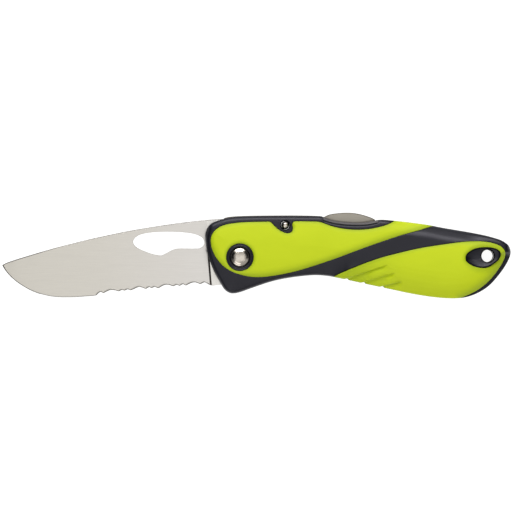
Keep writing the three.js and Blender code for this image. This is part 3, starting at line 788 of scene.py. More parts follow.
low = smooth(FRONT_LOW, 6)
low[:, 1] -= 0.32 * smoothstep((low[:, 0] - 60) / 9)
front_full = np.vstack([low, smooth(FRONT_LOBE, 6), smooth(FRONT_TOP, 6)])
rear_full = np.vstack([smooth(REAR, 6), np.array(REAR_OUT)])
dish = smooth(DISH, 8, True)
dish[:, 0] -= 0.45 * smoothstep((dish[:, 0] - 90.5) / 7.5)
dish = resample(dish, 0.3)


def clip_to_handle(poly, margin=0.0):
    """Closed outline cut off by the handle's own outline: its points inside, then the run of the
    handle's outline between where it leaves and where it comes back."""
    ins = inside(poly, handle)
    n = len(poly)
    start = [i for i in range(n) if ins[i] and not ins[i - 1]][0]
    run = [poly[(start + k) % n] for k in range(n) if ins[(start + k) % n]]
    run = np.array(run)
    # crossing points
    def cross(p, q):
        a, b = handle, np.roll(handle, -1, 0)
        best = None
        for i in range(len(a)):
            r, s = q - p, b[i] - a[i]
            den = r[0] * s[1] - r[1] * s[0]
            if abs(den) < 1e-12:
                continue
            t = ((a[i] - p)[0] * s[1] - (a[i] - p)[1] * s[0]) / den
            u = ((a[i] - p)[0] * r[1] - (a[i] - p)[1] * r[0]) / den
            if -1e-9 <= t <= 1 + 1e-9 and 0 <= u <= 1:
                if best is None or t < best[0]:
                    best = (t, i, p + r * t)
        return best
    c0 = cross(poly[(start - 1) % n], poly[start])
    last = (start + len(run) - 1) % n
    c1 = cross(poly[last], poly[(last + 1) % n])
    line = np.vstack([c0[2], run, c1[2]])
    line = resample(line, 0.34, closed=False)
    i, j = c1[1], c0[1]
    # walk along the handle outline the short way from the exit to the entry
    m = len(handle)
    fwd, k = [], (i + 1) % m
    while True:
        fwd.append(handle[k])
        if k == j:
            break
        k = (k + 1) % m
    back, k = [], i
    while True:
        back.append(handle[k])
        if k == (j + 1) % m:
            break
        k = (k - 1) % m
    length = lambda w: sum(np.linalg.norm(np.subtract(a, b)) for a, b in zip(w, w[1:])) if len(w) > 1 else 0
    side = fwd if length(fwd) < length(back) else back
    closed = np.vstack([line, np.array(side)])
    keep = [0]
    for q in range(1, len(closed)):
        if np.linalg.norm(closed[q] - closed[keep[-1]]) > 0.03:
            keep.append(q)
    if np.linalg.norm(closed[keep[-1]] - closed[0]) < 0.03:
        keep.pop()
    return closed[keep], line


# the front panel meets the outline twice, so it is cut in one walk round
front_closed, front_seam = clip_to_handle(front_full)
rear_closed, rear_seam = clip_to_handle(rear_full)

RING_OUT, RING_IN, WELL = 5.12, 3.95, 3.95


# ---- surface of the scales ------------------------------------------------------------------------------
HANDLE_CCW = area(handle) > 0
FRONT_CCW = area(front_closed) > 0
REAR_CCW = area(rear_closed) > 0


def tilt_profile(steps):
    """Height lost from the flat, as a table, for stretches of (upper distance, tilt in degrees)."""
    ds, hs = [0.0], [0.0]
    total = 0.0
    for (d1, tilt), d0 in zip(steps, [0.0] + [q[0] for q in steps[:-1]]):
        total += (d1 - d0) * math.tan(math.radians(tilt))
        ds.append(d1)
        hs.append(total)
    fine = np.linspace(0, ds[-1], 240)
    drop = np.interp(fine, ds, [total - h for h in hs])
    k = 7
    pad = np.pad(drop, k, mode="edge")
    pad[:k] = drop[0] + (drop[0] - drop[1]) * np.arange(k, 0, -1)
    soft = np.convolve(pad, np.ones(2 * k + 1) / (2 * k + 1), "valid")
    return fine, soft - soft[-1]


BACK = tilt_profile([(0.08, 55), (0.62, 28), (0.98, 17), (1.35, 8), (2.2, 1)])
TAIL = tilt_profile([(0.3, 52), (0.9, 36), (2.9, 25), (3.4, 20), (4.7, 12), (5.6, 2)])


LOWER = tilt_profile([(0.3, 48), (1.2, 27), (3.0, 22.5), (5.0, 17), (7.5, 10), (9.5, 4)])


def rim_drop(p, d, ny):
    """Rounding of the handle's rim: chamfered along the back, broad and sloping over the back of the
    tail, tighter along the belly."""
    up = smoothstep((ny + 0.45) / 1.0)
    base = roll(d, 1.35 + 1.1 * up, 1.7 + 0.4 * up)
    back = np.interp(d, *BACK)
    tail = np.interp(d, *TAIL)
    x = p[:, 0]
    top = smoothstep((ny - 0.35) / 0.4)
    wt = smoothstep((x - 54) / 9) * smoothstep((96 - x) / 12) * smoothstep((ny - 0.1) / 0.5)
    wb = top * (1 - wt)
    wl = smoothstep((0.15 - ny) / 0.5) * smoothstep((x - 34) / 9)
    lower = np.interp(d, *LOWER)
    return base * (1 - wb - wt - wl) + back * wb + tail * wt + lower * wl


def scoop_weight(p):
    x, y = p[:, 0], p[:, 1]
    wx = smoothstep((x - 30.7) / 1.3) * smoothstep((52.4 - x) / 2.0)
    return wx * smoothstep((y - 7.0) / 1.5)


def crown(d):
    return 1.5 * (1 - np.clip(d, 0, 12) / 12) ** 2


def navy_top(p):
    d, ny = facing(p, handle, True, not HANDLE_CCW)
    z = 7.12 - crown(d) - rim_drop(p, d, ny)
    # hollow beside the pad: two fine chamfered lips with a groove between them
    w = scoop_weight(p)
    lip = np.interp(d, [0, 0.06, 0.84, 0.94, 1.16, 1.28, 2.04, 2.16, 2.4, 3.2],
                    [5.20, 5.40, 5.77, 5.56, 5.56, 5.80, 6.18, 6.14, 6.12, 6.24])
    z = z * (1 - w) + np.minimum(lip, 7.12 - crown(d)) * w
    return z


def panel_soft(ds, ny):
    """Fillet of a panel's edge, fuller where it faces down the handle."""
    down = smoothstep((0.55 - ny) / 1.1)
    t = np.clip(ds / (1.6 + 1.6 * down), 0, 1)
    return (0.22 + 0.40 * down) * (1 - t) ** 2 + roll(ds, 0.3, 0.10)


def step_cut(p):
    """Depth of the grip steps in the rear panel: a steep face, then a long ramp back up."""
    cut = np.zeros(len(p))
    for a, b in STEPS:
        a, b = np.array(a), np.array(b)
        u = (b - a) / np.linalg.norm(b - a)
        n = np.array([u[1], -u[0]])          # towards the rear and the lower edge
        q = p - a
        t = (q @ u) / np.linalg.norm(b - a)
        s = q @ n
        fade = smoothstep((1.02 - t) / 0.17) * smoothstep((t + 0.6) / 0.2)
        g = np.where(s < 0, smoothstep(1 + s / 0.46), np.exp(-(np.maximum(s, 0) / 1.25) ** 1.2))
        g = np.where(s > 6, 0, g)
        cut = np.maximum(cut, (0.80 + 0.25 * smoothstep((0.35 - t) / 0.35)) * fade * g)
    return cut


def lime_top(p, seam, ccw, ring=None):
    d, ny = facing(p, handle, True, not HANDLE_CCW)
    ds, ns = facing(p, seam, False, not ccw)
    z = 7.79 - crown(d) - rim_drop(p, d, ny) - panel_soft(ds, ns)
    if ring is not None:
        dr = dist(p, ring)
        t = np.clip(dr / 1.5, 0, 1)
        z = z - 0.34 * (1 - t) ** 2 - roll(dr, 0.3, 0.12)
    return z


def centres(o):
    """Polygon centres in mm from the pivot."""
    cen = np.empty(len(o.data.polygons) * 3)
    o.data.polygons.foreach_get("center", cen)
    return (cen.reshape(-1, 3) - PIVOT[None]) * 1000


def set_painted_shade(o, value):
    # per-vertex value of painted shade: 0 darkest, 1 none
    at = o.data.attributes.new("painted_shade", "FLOAT", "POINT")
    at.data.foreach_set("value", value.astype(np.float32))


def recess_floor(p):
    return np.clip(navy_top(p) - 0.75, 3.05, 5.0)


def paint_edge_shade(o, seam, ccw, ring, shade_rear_panel=False):
    """Vertex value of painted shade: 0, darkest, at the panel's moulded border, 1 where no shade is painted."""
    n = len(o.data.vertices)
    co = np.empty(n * 3)
    o.data.vertices.foreach_get("co", co)
    p = ((co.reshape(-1, 3) - PIVOT[None]) * 1000)[:, :2]
    d, ny = facing(p, seam, False, not ccw)
    down = smoothstep((0.45 - ny) / 1.1)
    rear = smoothstep((p[:, 0] - 82) / 8)
    # painted shade: darker near the panel's border and near its ring or dish, over a wider band where the border faces
    # down and towards the tail
    a = smoothstep((d + 0.15) / (1.75 + 1.5 * down + 1.3 * rear))
    b = smoothstep((dist(p, ring) + 0.15) / (1.9 + 1.5 * rear))
    value = np.minimum(a, b) * (1 - rear) + a * b * rear
    if shade_rear_panel:
        # painted shade: the rear panel darker towards its front end
        value = value * (1 - 0.70 * smoothstep((64 - p[:, 0]) / 24))
        # painted shade under the steep face of each step
        for (a, b), k in zip(STEPS, (0.30, 0.35, 0.80)):
            a, b = np.array(a), np.array(b)
            L = np.linalg.norm(b - a)
            u = (b - a) / L
            t, s = ((p - a) @ u) / L, (p - a) @ np.array([u[1], -u[0]])
            run = smoothstep((1.02 - t) / 0.17) * smoothstep((t + 0.6) / 0.2)
            value = value * (1 - k * run * np.exp(-((s + 0.18) / 0.34) ** 2))
    set_painted_shade(o, value)


def build_scales():
    ring_o, ring_i = circle((0, 0), RING_OUT, 96), circle((0, 0), RING_IN, 80)
    shank = circle((0, 0), 2.5, 48)
    pin_well = circle(PIN, 1.6, 40)
    lan = circle(LANYARD, LANYARD_R, 56)
    # -- navy scale --
    lines = [(front_seam, False), (rear_seam, False), (dish, True), (ring_o, True), (ring_i, True)]
    rim = [offset(handle, -k) for k in (0.06, 0.14, 0.28, 0.5, 0.7, 0.84, 0.94, 1.05, 1.16, 1.28, 1.5, 1.72, 1.92, 2.04, 2.4, 2.9)]
    seam_pts = []
    for s in (front_seam, rear_seam):
        t = np.gradient(s, axis=0)
        t /= np.maximum(np.linalg.norm(t, axis=1, keepdims=True), 1e-9)
        nn = np.stack([t[:, 1], -t[:, 0]], 1)
        for k in (0.1, 0.22, 0.4):
            seam_pts += [s + nn * k, s - nn * k]
    near_ring = [circle((0, 0), r, 96) for r in (4.05, 4.2, 4.42, 4.5, 4.58, 4.66, 4.74, 4.9, 5.02)]
    dish_pts = [offset(dish, -k) for k in (0.08, 0.18, 0.3, 0.5, 0.8)] + [offset(dish, 0.1)]
    lan_pts = [circle(LANYARD, LANYARD_R + k, 56) for k in (0.08, 0.18, 0.32, 0.5)]
    pin_pts = [circle(PIN, 1.6 + k, 40) for k in (0.08, 0.2, 0.4)]
    extra = np.vstack(rim + seam_pts + near_ring + dish_pts + lan_pts + pin_pts)
    v, f = triangulate(handle, [shank, pin_well, lan], lines, extra, 0.62)
    c = v[f].mean(1)
    rc = np.hypot(c[:, 0], c[:, 1])
    in_front = inside(c, front_closed) & (rc > RING_OUT)
    in_rear = inside(c, rear_closed) & ~inside(c, dish)
    region = np.zeros(len(f), int)
    region[in_front | in_rear] = 1           # recess floors under the panels
    region[rc < RING_IN] = 2                 # well floor under the pivot head
    seams = [(front_seam, False), (rear_seam, False)]

    def top_navy(p):
        d = dist(p, handle)
        z = navy_top(p)
        ds = np.full(len(p), 1e9)
        for line, closed in seams:
            ds = np.minimum(ds, dist(p, line, closed))
        z = z - roll(ds, 0.3, 0.16)
        r = np.hypot(p[:, 0], p[:, 1])
        on_ring = r < RING_OUT + 0.01
        zr = 7.26 - roll(RING_OUT - r, 0.35, 0.22) - roll(r - RING_IN, 0.3, 0.2) - 0.13 * np.exp(-((r - 4.58) / 0.1) ** 2)
        z = np.where(on_ring, zr, z)
        rp = np.hypot(p[:, 0] - PIN[0], p[:, 1] - PIN[1])
        z = z - roll(rp - 1.6, 0.35, 0.22)
        # spoon-shaped dish that runs down to the lanyard hole
        ind = inside(p, dish) | (dist(p, dish) < 0.01)
        u = dist(p, dish)
        rl = np.hypot(p[:, 0] - LANYARD[0], p[:, 1] - LANYARD[1]) - LANYARD_R
        rl = np.maximum(rl, 0)
        bowl = 2.35 * (1 - np.exp(-(0.42 * u) / 1.5))
        depth = 0.50 * smoothstep(u / 0.4) + bowl + roll(rl, 0.35, 0.25)
        z = np.where(ind, 7.22 - crown(d) - depth, z)
        return np.maximum(z, 3.2)

    tops = {0: top_navy, 1: recess_floor, 2: lambda p: np.full(len(p), 4.2)}
    flat = lambda p: np.full(len(p), 2.95)
    bottoms = {0: flat, 1: flat, 2: flat}
    # the silhouette has to stay at or above the inner face
    vv, ff = terrain(v, f, region, tops, bottoms)
    shells = []
    for side, flip in (("top", False), ("bottom", True)):
        o = to_object(f"scale_{side}", vv, ff, flip, sharp=40)
        paint(o, "navy", "lip", "bore")
        cen = centres(o)
        c2 = cen[:, :2]
        idx = np.zeros(len(cen), int)
        # painted highlight: the lips beside the pad take the lighter navy
        idx[(dist(c2, handle) < 0.90) & (scoop_weight(c2) > 0.35) & inside(c2, handle) & (np.abs(cen[:, 2]) > 5.0)] = 1
        # painted shade: near-black navy round the lanyard hole and the pin well
        idx[np.hypot(c2[:, 0] - LANYARD[0], c2[:, 1] - LANYARD[1]) < LANYARD_R + 0.42] = 2
        idx[np.hypot(c2[:, 0] - PIN[0], c2[:, 1] - PIN[1]) < 1.98] = 2
        o.data.polygons.foreach_set("material_index", idx.astype(np.int32))
        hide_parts(f"shell_{side}")
        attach(o, "handle")
        shells.append(o)

    # -- lime panels --
    def panel(name, outline, holes, seam, ccw, ring, steps, nodes):
        closed = offset(outline, -0.035)
        hs = [offset(h, 0.035) for h in holes]
        rim = [offset(closed, -k) for k in (0.06, 0.15, 0.28, 0.45, 0.68, 0.95, 1.3, 1.7, 2.2, 2.75)]
        for h in hs:
            rim += [offset(h, k) for k in (0.06, 0.15, 0.28, 0.45, 0.68, 0.95, 1.3, 1.7)]
        if steps:
            for a, b in STEPS:
                a, b = np.array(a), np.array(b)
                L = np.linalg.norm(b - a)
                u = (b - a) / L
                n = np.array([u[1], -u[0]])
                tt = np.arange(-2.5, L + 0.5, 0.32)
                for s in (-0.44, -0.32, -0.21, -0.1, 0.0, 0.14, 0.34, 0.6, 0.95, 1.4):
                    rim.append(a + tt[:, None] * u + n * s)
        v, f = triangulate(closed, hs, [], np.vstack(rim), 0.62)

        def top(p):
            z = lime_top(p, seam, ccw, ring)
            if steps:
                z = z - step_cut(p)
            return np.maximum(z, recess_floor(p) + 0.15)

        vv, ff = terrain(v, f, np.zeros(len(f), int), {0: top}, {0: lambda p: recess_floor(p) + 0.02})
        for side, flip in (("top", False), ("bottom", True)):
            o = to_object(f"{name}_{side}", vv, ff, flip, sharp=40)
            # painted shade on the panel's borders, round its hole and under the grip steps
            paint_edge_shade(o, seam, ccw, ring, steps)
            paint(o, "lime")
            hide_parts(f"{nodes}_{side}")
            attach(o, "handle")

    panel("front_panel", front_closed, [ring_o], front_seam, FRONT_CCW, ring_o, False, "grip_front")
    panel("rear_panel", rear_closed, [dish], rear_seam, REAR_CCW, dish, True, "grip_rear")


build_scales()


# ---- blade ---------------------------------------------------------------------------------------------
def build_blade():
    spine = smooth(SPINE, 8)
    belly = smooth(BELLY, 8)
    teeth = smooth(TEETH, 3)
    notch = np.array([[-6.41, 9.75], [-3.02, 9.75]])
    tang = np.vstack([notch, arc(11.25, 105.6, -49.4, 60), [[4.65, -9.2], [4.6, -10.27]], arc(11.25, -70, -104, 14)])
    low = np.vstack([np.array(RICASSO)[::-1], teeth[::-1], belly[1:][::-1]])
    outline = resample(np.vstack([spine, tang, low]), 0.30)
    keep = [i for i in range(len(outline)) if np.linalg.norm(outline[i] - outline[i - 1]) > 0.06]
    outline = outline[keep]
    k = next(i for i, q in enumerate(THUMB) if q == [-29.06, 0.79])
    chain = [[-29.38, 0.66]] + THUMB[k + 1:] + THUMB[:k] + [[-29.38, 0.66]]
    thumb = resample(smooth(chain, 8)[:-1], 0.34)
    bore = circle((0, 0), 2.48, 64)
    cut_line = np.vstack([teeth, ])
    plain = belly
    extra = [offset(outline, -k) for k in (0.07, 0.16, 0.28, 0.42, 0.6, 0.85)]
    extra += [offset(thumb, k) for k in (0.08, 0.18, 0.3)]
    yy = np.arange(-11.2, 15, 0.3)
    for s in (-0.52, -0.4, -0.3, -0.21, -0.12, -0.03, 0.07, 0.2):
        extra.append(np.stack([-11.60 + (0.08 - yy) * 0.080 + s, yy], 1))
    v, f = triangulate(outline, [thumb, bore], [], np.vstack(extra), 0.62, clear=0.055)

    sx, sy = spine[:, 0], spine[:, 1]
    e = np.vstack([belly, teeth[1:]])
    # edge line without the scallops
    ex = np.array([-89.14, -88.3, -85.7, -81.56, -76.1, -70.1, -62.25, -55.5, -30, -11])
    ey = np.array([-3.07, -4.5, -7.57, -10.69, -13.39, -14.78, -15.0, -14.4, -11.9, -10.6])

    def half(p):
        x, y = p[:, 0], p[:, 1]
        T = 1.3 - 0.5 * smoothstep((-52 - x) / 38) - 0.42 * smoothstep((-83 - x) / 6)
        ys = np.interp(x, sx, sy) - 1.1
        ye = np.interp(x, ex, ey)
        q = np.clip((ys - y) / np.maximum(ys - ye, 0.5), 0, 1)
        # slightly hollow flat grind
        t = T - (T - 0.24) * (q - 0.10 * np.sin(np.pi * q) * 0.5)
        dt = dist(p, teeth, False)
        dp = dist(p, plain, False)
        t = np.minimum(t, 0.03 + 0.85 * dp)
        t = np.minimum(t, 0.03 + 0.62 * dt)
        xp = -11.60 + (0.08 - y) * 0.080
        w = smoothstep((x - xp + 0.10) / 0.30)
        t = t * (1 - w) + 1.3 * w
        deep = smoothstep((4.5 - y) / 6)
        t = t - 0.45 * deep * np.exp(-np.abs((x - xp + 0.16) / 0.27) ** 3)
        # fine chamfers on the spine, the opening and the bore
        ds = dist(p, spine, False)
        t = t - np.clip(1 - ds / 0.22, 0, 1) * 0.28
        t = t - np.clip(1 - dist(p, thumb) / 0.10, 0, 1) * 0.10
        return np.maximum(t, 0.03)

    vv, ff = terrain(v, f, np.zeros(len(f), int), {0: half}, {0: lambda p: -half(p)})
    o = to_object("blade_ground", vv, ff, sharp=28)
    paint(o, "blade", "tang", "edge", "groove", "scallop")
    # the flats behind the plunge are lapped across; the bevels are ground square to the edge
    me = o.data
    n = len(me.polygons)
    cen = np.empty(n * 3); me.polygons.foreach_get("center", cen)
    cen = (cen.reshape(-1, 3) - PIVOT[None]) * 1000
    idx = np.zeros(n, int)
    xp = -11.60 + (0.08 - cen[:, 1]) * 0.080
    # slot 1: the ricasso's lapped satin with a painted highlight
    idx[cen[:, 0] > xp + 0.2] = 1
    de = np.minimum(dist(cen[:, :2], teeth, False), dist(cen[:, :2], plain, False))
    idx[(de < 0.27) & (cen[:, 0] < xp)] = 2
    # painted shade: dark strips along the teeth, the spine and the edge near the point
    idx[(dist(cen[:, :2], teeth, False) < 0.30) & (cen[:, 0] < xp)] = 4
    point = smoothstep((-60 - cen[:, 0]) / 20)
    idx[(dist(cen[:, :2], spine, False) < 0.16 + 0.10 * point) & (cen[:, 0] < -6.6)] = 4
    idx[(dist(cen[:, :2], plain, False) < 0.22) & (cen[:, 0] < -75)] = 4
    # painted shade: near-black strips along the spine and the edge near the point, and in the plunge groove
    tip = smoothstep((-74 - cen[:, 0]) / 12)
    idx[(dist(cen[:, :2], spine, False) < 0.20 + 0.12 * tip) & (cen[:, 0] < -72)] = 3
    tip = smoothstep((-82 - cen[:, 0]) / 6)
    idx[(dist(cen[:, :2], plain, False) < 0.15 + 0.13 * tip) & (cen[:, 0] < -81)] = 3
    g = np.abs(cen[:, 0] - xp + 0.16)
    idx[(g < 0.30) & (cen[:, 1] < 1.2)] = 3
    me.polygons.foreach_set("material_index", idx.astype(np.int32))
    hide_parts("blade")
    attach(o, "blade")


build_blade()


# ---- lock bar, pin, spring ----------------------------------------------------------------------------
def build_lock():
    # the pad starts in a point, just clear of the end of the rim
    knee = [[28.6, 15.46], [30.1, 15.38], [30.85, 15.12], [31.35, 15.03], [31.85, 15.22], [32.35, 15.52], [33.0, 15.79], [34.1, 16.13]]
    top = smooth(sorted([q for q in BAR_TOP if not 28 < q[0] < 34.5] + knee), 6)[6:]
    low = np.vstack([smooth(BAR_LOW[:13], 4), np.array(BAR_LOW[13:])])
    outline = np.vstack([top, low, [[-6.05, 14.45], [-5.95, 14.68]]])
    outline = resample(outline, 0.4)
    hole = circle(PIN, 1.6, 40)
    extra = [offset(outline, -k) for k in (0.08, 0.16, 0.24, 0.34, 0.44, 0.56)]
    near = np.vstack([offset(handle, k) for k in (-0.15, 0.02, 0.14, 0.28, 0.44, 0.62)])
    extra.append(near[(near[:, 0] > 30) & (near[:, 0] < 53) & (near[:, 1] > 10)])
    v, f = triangulate(outline, [hole], [], np.vstack(extra), 0.9, clear=0.05)
    h = lambda p: 1.3 - np.clip(1 - dist(p, outline) / 0.34, 0, 1) * 0.30
    vv, ff = terrain(v, f, np.zeros(len(f), int), {0: h}, {0: lambda p: -h(p)})
    o = to_object("lock_lever", vv, ff, sharp=30)
    paint(o, "bar")
    co = np.empty(len(o.data.vertices) * 3)
    o.data.vertices.foreach_get("co", co)
    p = ((co.reshape(-1, 3) - PIVOT[None]) * 1000)[:, :2]
    # painted shadow: the bar darkened beside the scale's outline, more widely towards the rear, and painted shade along
    # its own border
    lip = smoothstep(dist(p, handle) / (0.42 + 0.35 * smoothstep((p[:, 0] - 44) / 5)))
    set_painted_shade(o, np.minimum(smoothstep((dist(p, outline) + 0.02) / 0.46), 0.30 + 0.70 * lip))
    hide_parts("lock_bar")
    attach(o, "lock")

    tip = [(0, -6.7)]
    n = 8
    dome = [(1.1 * math.sin(math.pi / 2 * k / n), 6.1 + 0.6 * math.cos(math.pi / 2 * k / n)) for k in range(n + 1)]
    prof = [(r, -z) for r, z in dome] + [(1.1, -4.2), (1.42, -4.2), (1.5, -4.12), (1.5, 4.12), (1.42, 4.2), (1.1, 4.2)] + dome[::-1]
    vv, ff = turned(prof, PIN, 48)
    o = to_object("lock_rivet", vv, ff, sharp=35)
    paint(o, "dome", "shoulder_shade")
    n = len(o.data.polygons)
    cen = np.empty(n * 3); o.data.polygons.foreach_get("center", cen)
    cen = (cen.reshape(-1, 3) - PIVOT[None]) * 1000
    # painted shade: the shoulder below the polished dome is near-black
    flat = (np.abs(cen[:, 2]) < 6.05).astype(np.int32)
    o.data.polygons.foreach_set("material_index", flat)
    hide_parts("lock_pin"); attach(o, "handle")

    mid = smooth(LEAF, 8)
    t = np.gradient(mid, axis=0)
    t /= np.linalg.norm(t, axis=1, keepdims=True)
    nn = np.stack([-t[:, 1], t[:, 0]], 1)
    half = 0.35 - 0.08 * np.linspace(0, 1, len(mid))
    outline = np.vstack([mid + nn * half[:, None], (mid - nn * half[:, None])[::-1]])
    vv, ff = fine_plate("leaf", outline, [], -1.2, 1.2, 0.06, 1.2)
    o = to_object("leaf_spring", vv, ff)
    paint(o, "spring")
    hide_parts("lock_spring")
    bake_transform(o)


build_lock()


# ---- pivot, washers ---------------------------------------------------------------------------------------
def build_pivot():
    # polished head: broad dome with a fine step near its rim
    def dome(r):
        """Shallow polished cap, its middle turned with fine rings inside a small step."""
        z = 7.45 - r * r / 12.6 - 0.16 * max(0.0, (r - 3.3) / 0.42) ** 2
        if r <= 2.7:
            return z - 0.004 * (1 - math.cos(2 * math.pi * r / 0.54))
        return z - 0.035

    crown_ = [(0, 7.45)] + [(2.7 * k / 26, dome(2.7 * k / 26)) for k in range(1, 27)]
    crown_ += [(2.76 + 0.96 * k / 12, dome(2.76 + 0.96 * k / 12)) for k in range(0, 13)]
    crown_ += [(3.72, 5.7)]
    barrel = [(1.6, 5.2), (0, 5.2)]
    prof = [(1.6, -2.85), (2.33, -2.85), (2.4, -2.78), (2.4, 4.25), (3.72, 4.25)] + crown_[::-1]
    prof = prof + [(0.0, 5.2), (1.6, 5.2)]
    # ring section walked anticlockwise, its inner end closed on the axis
    verts, faces = [], []
    n = 96
    rows = []
    for r, z in prof:
        if r < 1e-6:
            rows.append([len(verts)]); verts.append((0, 0, z))
        else:
            rows.append(list(range(len(verts), len(verts) + n)))
            verts += [(r * math.cos(2 * math.pi * k / n), r * math.sin(2 * math.pi * k / n), z) for k in range(n)]
    m = len(rows)
    for i in range(m):
        a, b = rows[i], rows[(i + 1) % m]
        for k in range(n):
            k2 = (k + 1) % n
            if len(a) == 1 and len(b) == 1:
                continue
            if len(a) == 1:
                faces.append((a[0], b[k2], b[k]))
            elif len(b) == 1:
                faces.append((a[k], a[k2], b[0]))
            else:
                faces.append((a[k], a[k2], b[k2], b[k]))
    o = to_object("pivot_head_and_barrel", verts, faces, sharp=38)
    paint(o, "dome")
    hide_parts("pivot_barrel"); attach(o, "handle")
    down = [(r, -z) for r, z in crown_]
    prof = down + [(3.72, -4.25), (2.4, -4.25), (2.4, -2.95), (1.5, -2.95), (1.5, 4.6), (1.3, 4.8), (0, 4.8)]
    vv, ff = turned(prof, (0, 0), 96)
    o = to_object("pivot_head_and_screw", vv, ff, sharp=38)
    paint(o, "dome")
    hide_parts("pivot_screw"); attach(o, "handle")


build_pivot()


# ---- liners and spacer ------------------------------------------------------------------------------------
def build_liners():
    smooth_handle = resample(smooth(HANDLE, 6, True), 0.7)
    inner = offset(smooth_handle, -0.42)
    holes = [circle((0, 0), 2.5, 48), circle(PIN, 1.6, 32), circle(LANYARD, LANYARD_R + 0.12, 40)]
    holes += [circle(c, 1.35, 24) for c in RIVETS]
    vv, ff = fine_plate("liner", inner, holes, 1.7, 2.9, 0.1, 2.4)
    for side, flip in (("top", False), ("bottom", True)):
        o = to_object(f"liner_plate_{side}", vv, ff, flip)
        paint(o, "liner")
        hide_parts(f"liner_{side}"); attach(o, "handle")
    run = inner
    sel = ((run[:, 0] > 54) & (run[:, 1] > -2)) | (run[:, 0] > 89.2)
    k = [i for i in range(len(run)) if sel[i] and not sel[i - 1]]
    start = max(k, key=lambda i: sum(1 for j in range(len(run)) if all(sel[(i + q) % len(run)] for q in range(min(j, 40)))))
    seq = []
    i = start
    while sel[i % len(run)]:
        seq.append(run[i % len(run)])
        i += 1
    outline = np.vstack([np.array(seq), np.array(SPACER_IN)[::-1]])
    vv, ff = fine_plate("spacer", resample(outline, 0.9), [circle(LANYARD, LANYARD_R + 0.12, 40)] + [circle(c, 1.35, 24) for c in RIVETS], -1.62, 1.62, 0.15, 2.0)
    o = to_object("spacer_block", vv, ff)
    paint(o, "navy")
    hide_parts("back_spacer"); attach(o, "handle")


build_liners()

for n, m in (("washer_top", "bronze"), ("washer_bottom", "bronze"), ("rivet_mid", "liner"),
             ("rivet_rear_upper", "liner"), ("rivet_rear_lower", "liner")):
    paint(frame["nodes"][n], m)


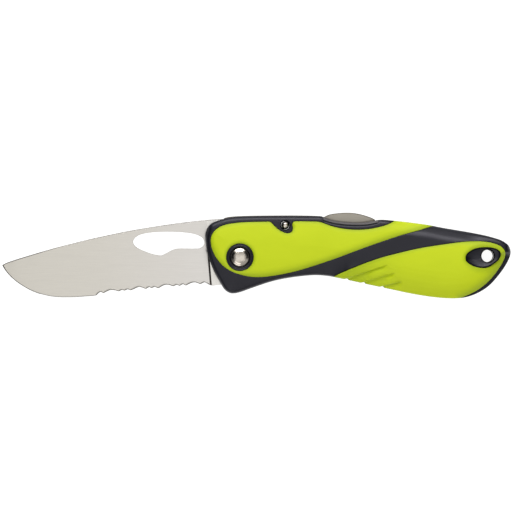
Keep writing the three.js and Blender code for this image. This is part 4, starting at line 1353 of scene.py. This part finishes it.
# ---- floor, light, camera --------------------------------------------------------------------------------
def build_stage():
    me = bpy.data.meshes.new("floor")
    n, size = 12, 3.0
    vs = [(-size + 2 * size * i / n, -size + 2 * size * j / n, -0.0003) for j in range(n + 1) for i in range(n + 1)]
    fs = [(j * (n + 1) + i, j * (n + 1) + i + 1, (j + 1) * (n + 1) + i + 1, (j + 1) * (n + 1) + i) for j in range(n) for i in range(n)]
    me.from_pydata(vs, [], fs)
    o = bpy.data.objects.new("floor", me)
    bpy.context.scene.collection.objects.link(o)
    paint(o, "floor")

    # even room, darker low down and beside the key so that polished parts keep some contrast
    w = bpy.data.worlds.new("studio")
    w.use_nodes = True
    nt = w.node_tree
    bg = nt.nodes["Background"]
    co = nt.nodes.new("ShaderNodeTexCoord")
    sep = nt.nodes.new("ShaderNodeSeparateXYZ")
    nt.links.new(co.outputs["Generated"], sep.inputs[0])

    def span(sock, a, b, lo, hi):
        m = nt.nodes.new("ShaderNodeMapRange")
        m.interpolation_type = "SMOOTHSTEP"
        for i, q in enumerate((a, b, lo, hi)):
            m.inputs[i + 1].default_value = q
        nt.links.new(sock, m.inputs[0])
        return m.outputs[0]

    low = span(sep.outputs["Z"], 0.0, 0.55, 0.55, 1.0)
    back = span(sep.outputs["Y"], 0.10, 0.45, 0.0, 0.92)
    high = span(sep.outputs["Z"], 0.30, 0.50, 0.0, 1.0)
    side = span(sep.outputs["X"], -0.80, -0.30, 0.20, 1.0)
    dark = value_of(nt, 1.0, "SUBTRACT", value_of(nt, back, "MULTIPLY", high))
    flank = span(value_of(nt, sep.outputs["X"], "ABSOLUTE", 0.0), 0.30, 0.48, 0.0, 0.95)
    flank = value_of(nt, flank, "MULTIPLY", span(sep.outputs["Y"], -0.32, -0.05, 0.0, 1.0))
    flank = value_of(nt, flank, "MULTIPLY", span(sep.outputs["Z"], 0.72, 0.82, 1.0, 0.0))
    both = value_of(nt, value_of(nt, low, "MULTIPLY", dark), "MULTIPLY", side)
    both = value_of(nt, both, "MULTIPLY", value_of(nt, 1.0, "SUBTRACT", flank))
    nt.links.new(value_of(nt, both, "MULTIPLY", 0.52), bg.inputs["Strength"])
    bg.inputs["Color"].default_value = (1.0, 1.0, 1.0, 1)
    bpy.context.scene.world = w

    def area_light(name, loc, target, size, watts, colour=(1, 1, 1), size_y=None):
        l = bpy.data.lights.new(name, "AREA")
        l.shape = "RECTANGLE"
        l.size = size
        l.size_y = size_y or size
        l.energy = watts
        l.color = colour
        o = bpy.data.objects.new(name, l)
        o.location = loc
        d = Vector(target) - Vector(loc)
        o.rotation_euler = d.to_track_quat("-Z", "Y").to_euler()
        bpy.context.scene.collection.objects.link(o)
        return o

    area_light("overhead", (0.0, 0.2, 2.0), (0, 0.2, 0), 2.4, 10.8, size_y=2.4)
    area_light("back_key", (-0.1, 1.45, 1.25), (0, 0, 0), 1.8, 26, size_y=0.75)
    area_light("front_fill", (-0.5, -1.3, 1.35), (0, 0, 0), 1.3, 4, size_y=0.8)

    cam = bpy.data.cameras.new("camera")
    cam.sensor_fit = "HORIZONTAL"
    cam.sensor_width = 36
    co = bpy.data.objects.new("camera", cam)
    # straight down on the knife; 192 mm of its middle plane fill the frame
    dist_m = 1.6
    cx, cy = (256 - 240.0) * 0.375 / 1000 + PIVOT[0], (257.2 - 256) * 0.375 / 1000 + PIVOT[1]
    co.location = (cx, cy, dist_m + PIVOT[2])
    co.rotation_euler = (0, 0, 0)
    cam.lens = 36 * dist_m / 0.192
    cam.clip_start, cam.clip_end = 0.01, 50
    bpy.context.scene.collection.objects.link(co)
    bpy.context.scene.camera = co
    bpy.context.scene.view_settings.view_transform = "Standard"
    bpy.context.scene.view_settings.look = "None"


build_stage()
